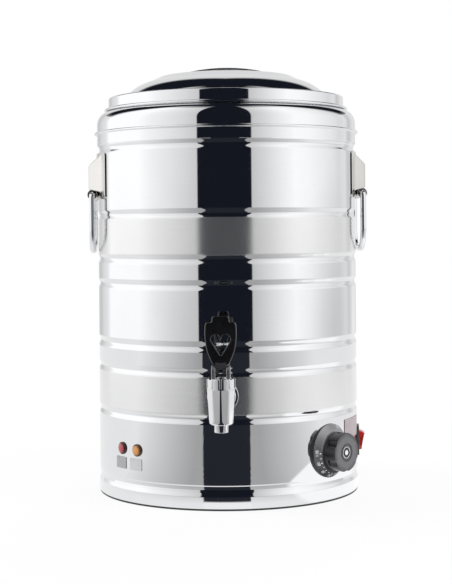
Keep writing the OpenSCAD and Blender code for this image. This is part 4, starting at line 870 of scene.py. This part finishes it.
def flattened(a, r, z):
    """Ten flats round the barrel, with an edge in front."""
    if r < 0.0119 or not low_z - 1e-5 < z < top_z + 1e-5:
        return r
    half = pi / flats
    off = (a + pi / 2) % (2 * half) - half
    body = low_r + (top_r - low_r) * (z - low_z) / (top_z - low_z) + 0.00025
    return min(r, body * cos(half) / cos(off))


barrel_path = [(nozzle_in, low_z - 0.0089), (nozzle_r - 0.0003, low_z - 0.0089), (nozzle_r, low_z - 0.0086),
               (nozzle_r, low_z - 0.0004), (nozzle_r + 0.0003, low_z), (0.012, low_z),
               (low_r - 0.0004, low_z + 0.0014)]
barrel_path += [(low_r + (top_r - low_r) * t / 10, low_z + 0.0022 + 0.0376 * t / 10) for t in range(11)]
barrel_path += [(top_r, top_z - 0.0003), (top_r - 0.0003, top_z), (chamber_r, top_z),
                (chamber_r, chamber_z), (throat_r, chamber_z), (throat_r, throat_z), (nozzle_in, throat_z)]
inlet_tube = spun([(nozzle_in, tube_front), (tube_r, tube_front), (tube_r, tube_end),
                   (nozzle_in, tube_end)], 64)
barrel = join_mesh(placed(spun(barrel_path, 280, flattened), at_tap), placed(inlet_tube, tap_axis))
piece("tap_barrel", barrel, chrome, ["tap_body"], sharp=40)

disc_bore, disc_r, step_r = 0.00905, 0.0185, 0.015
disc_back, disc_front, step_front = 0.1673, 0.1693, 0.1713
flange_path = rounded([(disc_bore, disc_back), (disc_r, disc_back, 0.0005), (disc_r, disc_front, 0.0008),
                       (step_r, disc_front, 0.0005), (step_r, step_front, 0.0008),
                       (disc_bore, step_front)], 5)
piece("tap_flange_disc", placed(spun(with_edges(flange_path), 96), tap_axis), chrome, ["tap_flange"])

bonnet_top_z, pivot_z = 0.1613, 0.1692
post_in, post_out, post_r, post_ease = 0.0063, 0.0108, 0.0068, 0.0004
guide_r, plug_z, plug_top_r, bonnet_rim_r = 0.00305, 0.145, 0.0098, 0.0142
notches, notch_d, notch_half, notch_ease = 10, 0.0018, 0.0014, 0.0004


def castellated(a, r, z):
    """Upright slots round the collar, from a ledge to its top."""
    if r < 0.0155 or z < top_z + 0.0016:
        return r
    u = ((a + pi / 2) * notches / (2 * pi) + 0.5) % 1 - 0.5
    off = abs(u) * 2 * pi * top_r / notches
    return r - notch_d * unit((notch_half - off) / notch_ease)


def post(side):
    """One post with a round head, its edges eased."""
    foot = bonnet_top_z - 0.001
    rim = [(-post_r, foot)] + arc_points(0, pivot_z, post_r, post_r, 180, 0, 24) + [(post_r, foot)]
    rings = []
    for x, back in ((post_in, post_ease), (post_in + post_ease, 0), (post_out - post_ease, 0),
                    (post_out, post_ease)):
        k = 1 - back / post_r
        rings.append([(side * x, tap_y + y * k, pivot_z + (z - pivot_z) * k if z > bonnet_top_z else z)
                      for y, z in rim])
    return lofted(rings)


bonnet_path = [(guide_r, plug_z), (plug_top_r, plug_z), (plug_top_r, top_z + 0.0001),
               (top_r - 0.0003, top_z + 0.0001), (top_r, top_z + 0.0004), (top_r, top_z + 0.0015),
               (top_r, top_z + 0.0017), (top_r, bonnet_top_z - 0.0006), (top_r - 0.0006, bonnet_top_z),
               (bonnet_rim_r, bonnet_top_z), (guide_r, bonnet_top_z)]
piece("tap_bonnet_turned", placed(spun(bonnet_path, 400, castellated), at_tap), chrome, ["tap_bonnet"],
      sharp=35)
pin_axis = moved(0, tap_y, pivot_z) @ turned(90, "Y")
pin_r, pin_half, pin_ease, pin_play = 0.002, 0.0108, 0.0003, 0.00005
pin_way = placed(rod_of(pin_r + pin_play, -0.02, 0.02, 24), pin_axis)
piece("tap_posts", join_mesh(post(-1), post(1)), satin_chrome, ["tap_bonnet"], sharp=35,
      cuts=[pin_way])
pin_path = [(0, -pin_half), (pin_r - pin_ease, -pin_half), (pin_r, pin_ease - pin_half),
            (pin_r, pin_half - pin_ease), (pin_r - pin_ease, pin_half), (0, pin_half)]
piece("lever_pin_turned", placed(spun(pin_path, 32), pin_axis), chrome, ["lever_pin"])

# ---------- Tap lever ----------
# A glossy black moulded lever: a shield-shaped plate with a rolled rim and a heart-shaped
# opening, on a narrow foot that turns on the pin between the posts.
lever_black = finish("lever_black", moulded_grain, (0.004, 0.004, 0.0045), (0.008, 0.008, 0.009),
                     (0.10, 0.20), 0.05, 0.0001, (0.05, 0.05, 0.055), (1200, 40), Coat_Weight=0.5,
                     Coat_Roughness=0.06)
lever_low_z, lever_w, lever_h, lever_t, lever_ease = 0.177, 0.0365, 0.0553, 0.009, 0.0013
foot_r, foot_half, cheek_in, cheek_out = 0.0065, 0.005, 0.0022, 0.006
neck_w, neck_d, neck_h, neck_corner, neck_z = 0.0122, 0.010, 0.0075, 0.0008, 0.1717
# The right edge from the foot up: share of the width, share of the height, radius
lever_edge = [(0.2, 0, 0.0005), (0.26, 0.018, 0.003), (0.3, 0.06, 0.006), (0.435, 0.28, 0.02),
              (0.485, 0.47, 0.02), (0.5, 0.61, 0.02), (0.5, 0.72, 0.02), (0.49, 0.8, 0.01),
              (0.466, 0.87, 0.003), (0.28, 0.875, 0.002), (0.27, 1, 0.003)]


def drawn(curve, slivers=False):
    """Verts and faces of a filled curve, without its doubled points and, if asked, its slivers."""
    holder = linked(curve.name, curve)
    mesh = mesh_of(holder)
    bpy.data.objects.remove(holder)
    clean = bmesh.new()
    clean.from_mesh(mesh)
    bmesh.ops.remove_doubles(clean, verts=clean.verts, dist=1e-6)
    if slivers:
        bmesh.ops.dissolve_degenerate(clean, edges=clean.edges, dist=1e-6)
    clean.to_mesh(mesh)
    clean.free()
    return [tuple(v.co) for v in mesh.vertices], [tuple(p.vertices) for p in mesh.polygons]


def plate_with_hole(outer, hole, t, ease):
    """A plate t thick round y = 0 from outlines in x and z, its rims rounded by ease."""
    shape = bpy.data.curves.new("outline", "CURVE")
    shape.dimensions = "2D"
    shape.fill_mode = "BOTH"
    shape.extrude = t / 2 - ease
    shape.bevel_depth = ease
    shape.bevel_resolution = 4
    shape.offset = -ease
    for path in (outer, hole):
        line = shape.splines.new("POLY")
        line.points.add(len(path) - 1)
        for point, (x, z) in zip(line.points, path):
            point.co = (x, z, 0, 1)
        line.use_cyclic_u = True
    return placed(drawn(shape), turned(90, "X"))


def foot_cheek(side):
    """Half of the lever's foot, beside the slot for the stem's blade."""
    foot_top_z = lever_low_z + 0.0025
    rim = [(-foot_half, foot_top_z)] + arc_points(0, pivot_z, foot_r, foot_r, 140, 400, 36)
    rim += [(foot_half, foot_top_z)]
    return lofted([[(side * x, tap_y + y, z) for y, z in rim] for x in (cheek_in, cheek_out)])


outer = [(x * lever_w, z * lever_h, r) for x, z, r in lever_edge]
outer += [(-x, z, r) for x, z, r in reversed(outer)]
heart_w, heart_rise = lever_w * 0.614, lever_h * 0.174
lobe, lobe_x, lobe_z = heart_w * 0.241, heart_w * 0.259, heart_rise + heart_w * 0.87
right_lobe = arc_points(lobe_x, lobe_z, lobe, lobe, -32, 158, 20)
heart = [(0, heart_rise, 0.0012)] + right_lobe + [(0, heart_rise + heart_w * 0.80)]
heart += [(-x, z) for x, z in reversed(right_lobe)]
plate = plate_with_hole(rounded(outer, 5), rounded(heart, 5), lever_t, lever_ease)
neck = slab(neck_w, neck_d, 0, neck_h, neck_corner)
for name, shape, ways in (("lever_plate", placed(plate, moved(0, tap_y, lever_low_z)), []),
                          ("lever_foot", join_mesh(foot_cheek(-1), foot_cheek(1)), [pin_way]),
                          ("lever_neck", placed(neck, moved(0, tap_y, neck_z)), [])):
    piece(name, shape, lever_black, ["tap_lever"], body="lever", sharp=28, cuts=ways)

# ---------- Lamps ----------
# Two neon indicator lamps pushed through holes in the shell: a dark moulded housing with a
# round rim, and a domed coloured lens that snaps over the housing's mouth.
rim_out, housing_r, mouth_r, snap_r, lens_r = 0.0075, 0.006, 0.005, 0.0048, 0.0062
rim_seat, lamp_face, lamp_back, lamp_mouth, lens_top = 0.162, 0.1666, 0.141, 0.157, 0.169
seat_r = 0.1652


def wall_of_shell(z, half):
    """What the round shell takes up near a height, to cut a seat into a piece."""
    return spun([(0.12, z - half), (seat_r, z - half), (seat_r, z + half), (0.12, z + half)], 288)


# Painted shade of a lens: tone from its dark edge (0), a painted shade, to its lighter middle (1), with fine
# moulded rings
lens_painted_shade, given, out, where = group("lens_painted_shade", {"Radius": lens_r})
flat = stretched(lens_painted_shade, where, (1.0, 1.0, 0.0))
length = add(lens_painted_shade, "VectorMath", {0: flat}, operation="LENGTH").outputs["Value"]
far_out = calc(lens_painted_shade, "DIVIDE", length, given["Radius"])
rings = calc(lens_painted_shade, "SINE", calc(lens_painted_shade, "MULTIPLY", far_out, 38))
cloud = noise(lens_painted_shade, where, 420, 3, 0.6)
middle = calc(lens_painted_shade, "SUBTRACT", 1.02, far_out, True)
middle = calc(lens_painted_shade, "MULTIPLY", middle, 2.6, True)
cloudy = calc(lens_painted_shade, "ADD", 0.8, calc(lens_painted_shade, "MULTIPLY", cloud, 0.4))
# Painted light: the lens is made lighter towards its middle than at its painted dark edge
clear = calc(lens_painted_shade, "MULTIPLY", calc(lens_painted_shade, "MULTIPLY", middle, cloudy), 0.3)
wire(lens_painted_shade, (calc(lens_painted_shade, "ADD", 0.35, clear), out["Tone"]), (cloud, out["Gloss"]),
     (rings, out["Height"]))

# Per lamp: lens tint at its painted dark edge, lens tint at its middle, then the rim's low and high tints
lamp_looks = {
    "red": ((0.075, 0.006, 0.010), (0.47, 0.045, 0.055), (0.030, 0.008, 0.010), (0.060, 0.018, 0.020)),
    "amber": ((0.16, 0.055, 0.016), (0.68, 0.30, 0.065), (0.050, 0.022, 0.012), (0.095, 0.050, 0.028)),
}
rim = rounded([(housing_r - 0.0006, rim_seat), (rim_out, rim_seat), (rim_out, lamp_face, 0.0006),
               (housing_r - 0.0006, lamp_face, 0.0003)], 5)
barrel = [(0, lamp_back), (housing_r - 0.0004, lamp_back), (housing_r, lamp_back + 0.0004),
          (housing_r, lamp_face - 0.0006), (mouth_r, lamp_face - 0.0006), (mouth_r, lamp_mouth),
          (0, lamp_mouth)]
dome_foot = lamp_face + 0.0005
lens = [(0, lamp_mouth + 0.0001), (snap_r - 0.0001, lamp_mouth + 0.0001), (snap_r, lamp_mouth + 0.0003),
        (snap_r, lamp_face + 0.0001), (lens_r, lamp_face + 0.0001)]
lens += arc_points(0, dome_foot, lens_r, lens_top - dome_foot, 0, 90, 14)
for tint, angle in lamp_angles.items():
    painted_shade_edge_tint, middle_tint, rim_low, rim_high = lamp_looks[tint]
    lens_plastic = finish(tint + "_lens_plastic", lens_painted_shade, painted_shade_edge_tint, middle_tint, (0.10, 0.20), 0.15,
                          0.0002, Coat_Weight=0.6, Coat_Roughness=0.05)
    rim_plastic = finish(tint + "_lamp_rim_plastic", moulded_grain, rim_low, rim_high, (0.14, 0.26), 0.08,
                         0.0001, (0.12, 0.07, 0.06), (1500, 60))
    place = on_shell(angle, lamp_z)
    piece(tint + "_lamp_housing", placed(spun(rim, 96), place), rim_plastic, ["lamp_housings"],
          cuts=[wall_of_shell(lamp_z, 0.012)], joins=[placed(spun(barrel, 96), place)])
    piece(tint + "_lens_dome", spun(lens, 96), lens_plastic, [tint + "_lens"],
          place=place)


# ---------- Labels and blank plate ----------
# Thin plates of satin foil stuck to the shell: a small one under each lamp and a larger one
# above the switch. All three are plain.
def card(angle, z, w, h, corner, columns=28):
    """A thin plate bent to the round shell, with round corners and eased edges."""
    low, high, ease = seat_r, seat_r + 0.0005, 0.00015
    rings = []
    for i in range(columns + 1):
        x = w / 2 * sin(radians(180 * i / columns - 90))
        top = h / 2 - round_off(corner, abs(x) - (w / 2 - corner))
        a = degrees(asin(x / high)) + angle
        rings.append([around(r, a, z + y) for r, y in (
            (low, -top), (high - ease, -top), (high, ease - top), (high, top - ease), (high - ease, top),
            (low, top))])
    return lofted(rings)


def foil(name, low, high):
    return finish(name, sheet_marks, low, high, (0.35, 0.5), 0.1, 0.0001, None,
                  ((900.0, 900.0, 60.0), 120.0), Metallic=0.3)


label_z, label_w, label_h, label_corner = 0.0485, 0.020, 0.014, 0.0008
blank_angle, blank_z, blank_w, blank_h, blank_corner = 71, 0.083, 0.052, 0.0245, 0.001
for tint, name, low, high in (("red", "dull_foil", (0.36, 0.36, 0.365), (0.46, 0.46, 0.465)),
                              ("amber", "pale_foil", (0.58, 0.59, 0.585), (0.68, 0.69, 0.685))):
    piece(tint + "_lamp_label", card(lamp_angles[tint] - 1, label_z, label_w, label_h, label_corner),
          foil(name, low, high), ["lamp_labels"])
piece("plain_plate", card(blank_angle, blank_z, blank_w, blank_h, blank_corner),
      foil("rose_foil", (0.40, 0.345, 0.36), (0.54, 0.47, 0.485)), ["blank_plate"])

# ---------- Thermostat dial ----------
# A bevelled dial plate of dark anodised metal, printed with pale strokes and numbers, held to
# the shell by two screws that the knob hides. Its colour is painted darker low down, as painted
# shade, and lighter high up, as a painted highlight.
# Painted light with real brushed streaks: the plate's tone runs by height from dark at Low to pale at High,
# a painted shade below and a painted highlight above
plate_streaks_and_painted_light, given, out, where = group("plate_streaks_and_painted_light", {"Low": 0.032, "High": 0.094})
height = add(plate_streaks_and_painted_light, "SeparateXYZ", {0: where}).outputs["Z"]
# Painted shade low on the plate and painted highlight high on it
painted_light_by_height = add(plate_streaks_and_painted_light, "MapRange", {"Value": height, "From Min": given["Low"], "From Max": given["High"],
                                     "To Min": 0.33, "To Max": 0.66}).outputs["Result"]
brushed = noise(plate_streaks_and_painted_light, stretched(plate_streaks_and_painted_light, where, (700.0, 700.0, 90.0)), 1.0, 4, 0.7)
streaks = calc(plate_streaks_and_painted_light, "MULTIPLY", calc(plate_streaks_and_painted_light, "SUBTRACT", brushed, 0.5), 0.08)
wire(plate_streaks_and_painted_light, (calc(plate_streaks_and_painted_light, "ADD", painted_light_by_height, streaks), out["Tone"]), (brushed, out["Gloss"]),
     (brushed, out["Height"]))
# The two tints are the ends of the painted light: near black for the painted shade low down, pale grey for
# the painted highlight high up
dial_metal = finish("dial_metal", plate_streaks_and_painted_light, (0.016, 0.016, 0.018), (0.42, 0.42, 0.44), (0.36, 0.46),
                    0.06, 0.0001, Metallic=0.6)
dial_r, face_r, dial_rim, dial_face, dial_back = 0.0325, 0.026, 0.166, 0.1735, 0.160
shaft_way, recess_r, recess_z = 0.0045, 0.006, 0.1707
dial_place = on_shell(dial_angle, dial_z)
dial_path = rounded([(recess_r, dial_back), (dial_r, dial_back), (dial_r, dial_rim, 0.0006),
                     (face_r, dial_face, 0.0012), (shaft_way, dial_face), (shaft_way, recess_z),
                     (recess_r, recess_z)], 6)
screw_x, screw_hole, screw_head, out_front = 0.012, (0.002, 0.158), (0.0034, 0.1711), 0.18
screw_ways = [placed(rod_of(r, low, out_front), dial_place @ moved(x))
              for x in (-screw_x, screw_x) for r, low in (screw_hole, screw_head)]
dial = piece("dial_plate", placed(spun(with_edges(dial_path), 192), dial_place),
             [dial_metal, black_plastic], ["thermostat_bezel"],
             cuts=[wall_of_shell(dial_z, 0.04)] + screw_ways)


def second_finish(obj, place, where):
    """Gives the second finish to the faces whose (radius, height) at the place fit."""
    back = place.inverted()
    for face in obj.data.polygons:
        here = back @ face.center
        face.material_index = 1 if where(hypot(here.x, here.y), here.z) else 0


second_finish(dial, dial_place, lambda r, z: r >= dial_r - 0.0003 or z <= dial_rim - 0.0002)

# Strokes and numbers of pale paint, a tenth of a millimetre thick, bent onto the bevel
dial_paint = finish("dial_paint", moulded_grain, (0.80, 0.80, 0.81), (0.92, 0.92, 0.93), (0.4, 0.55), 0.1,
                    0.0001, (0.95, 0.95, 0.95), (2500, 400))
bevel_in, bevel_up = dial_r - face_r, dial_face - dial_rim
bevel_run = hypot(bevel_in, bevel_up)
paint_low, paint_high = -0.00003, 0.00008
number_size, number_up, stroke_up, tick_up = 0.0052, 0.0040, 0.0083, 0.0085


def on_bevel_at(turn, across, up, out):
    """A point on the bevel: turn round the dial, then across, up the slope and out of it."""
    r = dial_r + (out * bevel_up - up * bevel_in) / bevel_run
    z = dial_rim + (up * bevel_up + out * bevel_in) / bevel_run
    a = radians(turn) + across / r
    return dial_place @ Vector((r * sin(a), r * cos(a), z))


def printed(outline, turn, up):
    """A flat outline (verts, faces) as a thin print on the bevel."""
    n = len(outline[0])
    edges = dict.fromkeys((a, b) for f in outline[1] for a, b in zip(f, f[1:] + f[:1]))
    faces = [f[::-1] for f in outline[1]] + [tuple(i + n for i in f) for f in outline[1]]
    faces += [(a, b, b + n, a + n) for a, b in edges if (b, a) not in edges]
    verts = [on_bevel_at(turn, v[0], up + v[1], out) for out in (paint_low, paint_high) for v in outline[0]]
    return verts, faces


def number_shape(text, size):
    """The flat mesh of a number, its middle at the origin."""
    letters = bpy.data.curves.new("number", "FONT")
    letters.body = text
    letters.size = size
    letters.align_x = "CENTER"
    letters.align_y = "CENTER"
    letters.resolution_u = 3
    letters.offset = 0.00006
    return drawn(letters, True)


def stroke_shape(w, h):
    return oblong(w, h, 0), [(0, 1, 2, 3)]


prints = [printed(stroke_shape(0.0009, 0.0044), 18, 0.0050)]
for turn, text in ((166, "30"), (192, "50"), (218, "70"), (244, "90"), (270, "110")):
    prints.append(printed(number_shape(text, number_size), turn, number_up))
    prints.append(printed(stroke_shape(0.0010, 0.0020), turn, stroke_up))
    if turn < 270:
        prints.append(printed(stroke_shape(0.0009, 0.0014), turn + 13, tick_up))
piece("dial_print", join_mesh(*prints), dial_paint, [])

# ---------- Thermostat knob ----------
# A moulded dark grey knob with six scooped grips, whose face has a shallow ring round a
# small chromed cap. Its shaft runs back into the thermostat.
knob_grain = (1300, 35)
knob_black = finish("knob_black", moulded_grain, (0.010, 0.010, 0.011), (0.020, 0.020, 0.022), (0.18, 0.28),
                    0.10, 0.00012, (0.09, 0.09, 0.095), knob_grain)
knob_face = finish("knob_face", moulded_grain, (0.055, 0.055, 0.062), (0.082, 0.082, 0.091), (0.34, 0.46),
                   0.10, 0.00012, (0.14, 0.14, 0.15), knob_grain)
knob_r, knob_back, knob_front, skirt_z, side_h = 0.02325, 0.1737, 0.191, 0.1787, 0.0105
shaft_r, shaft_back, edge_r = 0.003, 0.1475, 0.0012
scoop_r, scoop_turns = 0.010, 6
scoop_middle = knob_r + scoop_r - 0.0016
groove_out, groove_in, cap_well_r, cap_well_d, cap_r = 0.0115, 0.0084, 0.00705, 0.0012, 0.007


def scooped(a, r, z):
    """Six hollows down the knob's side, from its skirt to its face."""
    if z < skirt_z - 0.00002 or r < 0.019:
        return r
    off = radians(degrees(a) % (360 / scoop_turns) - 180 / scoop_turns)
    side = scoop_middle * sin(off)
    if abs(side) >= scoop_r:
        return r
    return min(r, scoop_middle * cos(off) - sqrt(scoop_r ** 2 - side ** 2))


knob_path = [(0, shaft_back), (shaft_r - 0.0002, shaft_back), (shaft_r, shaft_back + 0.0002),
             (shaft_r, knob_back - 0.0004), (shaft_r, knob_back), (knob_r - 0.0004, knob_back),
             (knob_r, knob_back + 0.0004), (knob_r, skirt_z - 0.0004), (knob_r, skirt_z - 0.0001),
             (knob_r, skirt_z)]
knob_path += [(knob_r, skirt_z + 0.0004 + side_h * t / 6) for t in range(7)]
knob_path += arc_points(knob_r - edge_r, knob_front - edge_r, edge_r, edge_r, 8, 90, 7)
knob_path += [(0.0182, knob_front), (groove_out, knob_front)]
knob_path += arc_points(groove_out, knob_front - 0.0005, 0.0008, 0.0005, 90, 180, 5)
knob_path += [(0.0104, knob_front - 0.0006), (0.0086, knob_front - 0.0006)]
knob_path += arc_points(groove_in, knob_front - 0.0003, 0.0004, 0.0003, -60, 90, 5)
knob_path += [(cap_well_r, knob_front - 0.0001), (cap_well_r, knob_front - cap_well_d),
              (0, knob_front - cap_well_d)]
knob = piece("knob_moulded", placed(spun(knob_path, 360, scooped), dial_place), [knob_black, knob_face],
             ["thermostat_knob"], body="knob", sharp=34)
second_finish(knob, dial_place, lambda r, z: z > knob_front - 0.0006)
cap_path = [(0, knob_front - cap_well_d), (cap_r - 0.0001, knob_front - cap_well_d),
            (cap_r, knob_front - 0.0010)]
cap_path += arc_points(cap_r - 0.0005, knob_front - 0.0005, 0.0005, 0.0005, 0, 180, 10)
cap_path += [(0.0059, knob_front - 0.0009), (0.0038, knob_front - 0.0009)]
cap_path += arc_points(0.0028, knob_front - 0.0008, 0.0008, 0.0006, 10, 90, 6)
cap_path.append((0, knob_front - 0.0003))
cap = piece("knob_cap_chromed", placed(spun(cap_path, 96), dial_place), [chrome, black_plastic],
            ["knob_cap"], body="knob")
second_finish(cap, dial_place, lambda r, z: 0.003 < r < 0.0060 and z > knob_front - 0.001)

# ---------- Switch ----------
# A snap-in rocker switch: a black moulded frame with a raised rim, and a glossy red rocker
# that tips on two small trunnions.
frame_w, frame_h, body_w, body_h = 0.027, 0.037, 0.021, 0.028
frame_back, rim_low, rim_top, rim_ease = 0.141, 0.156, 0.1675, 0.0008
rocker_axis, rocker_half, rocker_w, rocker_gap, rocker_tip = 0.1655, 0.0122, 0.0166, 0.0003, 11
trunnion_r, trunnion_way_r, trunnion_way_half = 0.0015, 0.00155, 0.0099
switch_place = on_shell(switch_angle, switch_z)


def inset(outline, d):
    """A closed outline, drawn counter-clockwise, moved inwards by d."""
    out = []
    for i, p in enumerate(outline):
        a = (Vector(p) - Vector(outline[i - 1])).normalized()
        b = (Vector(outline[(i + 1) % len(outline)]) - Vector(p)).normalized()
        m = (a + b).normalized()
        k = d / max(0.3, m.dot(a))
        out.append((p[0] - m.y * k, p[1] + m.x * k))
    return out


def soft_prism(outline, low, high, ease, both=True, steps=4):
    """An outline raised from low to high, with its rims rounded."""
    turns = [pi / 2 * k / steps for k in range(steps + 1)]
    rise = [(high - ease + ease * sin(a), ease - ease * cos(a)) for a in turns]
    levels = ([(low + high - z, d) for z, d in reversed(rise)] if both else [(low, 0.0)]) + rise
    verts, sides, ends = raised(lambda d: inset(outline, d), levels)
    return verts, sides + ends


frame_rim = soft_prism(oblong(frame_w, frame_h, 0.0025), rim_low, rim_top, rim_ease, False)
frame_body = slab(body_w, body_h, frame_back, rim_top - rim_ease, 0.0008)
opening = slab(rocker_w + 2 * rocker_gap, 2 * (rocker_half + rocker_gap),
               rocker_axis - rocker_half - rocker_gap, out_front, 0.0006)
trunnion_way = placed(rod_of(trunnion_way_r, -trunnion_way_half, trunnion_way_half),
                      moved(z=rocker_axis) @ turned(90, "Y"))
piece("switch_frame_moulded", placed(frame_rim, switch_place), black_plastic, ["switch_frame"],
      cuts=[wall_of_shell(switch_z, 0.02)], joins=[placed(frame_body, switch_place)],
      bores=[placed(opening, switch_place), placed(trunnion_way, switch_place)])

rocker_red = finish("rocker_red", moulded_grain, (0.50, 0.012, 0.010), (0.62, 0.024, 0.018), (0.14, 0.26),
                    0.06, 0.0001, (0.72, 0.09, 0.06), (1400, 50), Coat_Weight=0.4, Coat_Roughness=0.08)
side = [(0.01062, -0.006, 0.0004)] + arc_points(0, 0, rocker_half, rocker_half, -22, 34, 10)
side.append((0.0095, 0.0075, 0.0007))
side += [(0.001, 0.0022, 0.010)] + [(-p[0], *p[1:]) for p in reversed(side)]
verts, faces = soft_prism(rounded(side, 6), -rocker_w / 2, rocker_w / 2, 0.0006)
trunnion_half = rocker_w / 2 + 0.0014
trunnion = placed(rod_of(trunnion_r, -trunnion_half, trunnion_half), turned(90, "Y"))
rocker_rest = switch_place @ moved(z=rocker_axis) @ turned(rocker_tip, "X")
piece("rocker_moulded", placed(([(z, x, y) for x, y, z in verts], faces), rocker_rest), rocker_red,
      ["rocker"], body="rocker", sharp=40, joins=[placed(trunnion, rocker_rest)])

# ---------- Power inlet ----------
# A moulded three-pin inlet in the back of the shell: a flange with two screws round a
# socket, whose pins stand in its floor. No lead is plugged in.
inlet_place = on_shell(inlet_angle, inlet_z)
inlet_face, inlet_ease, inlet_back, socket_floor = 0.1675, 0.0007, 0.141, 0.1515
flange_w, flange_h, flange_back = 0.050, 0.024, 0.157
socket_w, socket_h, mouth_w, mouth_h = 0.028, 0.020, 0.024, 0.016
inlet_screw_x, inlet_screw_r, inlet_screw_end = 0.020, 0.0019, 0.158
pin_slot, pin_slot_end = (0.0021, 0.0041), 0.144
pin_places = ((-0.007, -0.002), (0, 0.002), (0.007, -0.002))
flange = soft_prism(oblong(flange_w, flange_h, 0.004), flange_back, inlet_face, inlet_ease, False)
socket = slab(socket_w, socket_h, inlet_back, inlet_face - inlet_ease, 0.001)
bores = [placed(slab(mouth_w, mouth_h, socket_floor, out_front, 0.0016), inlet_place)]
bores += [placed(rod_of(inlet_screw_r, inlet_screw_end, out_front), inlet_place @ moved(x))
          for x in (-inlet_screw_x, inlet_screw_x)]
bores += [placed(slab(*pin_slot, pin_slot_end, socket_floor + 0.001), inlet_place @ moved(x, y))
          for x, y in pin_places]
piece("power_inlet_moulded", placed(flange, inlet_place), black_plastic, ["power_inlet"],
      cuts=[wall_of_shell(inlet_z, 0.016)], joins=[placed(socket, inlet_place)], bores=bores)
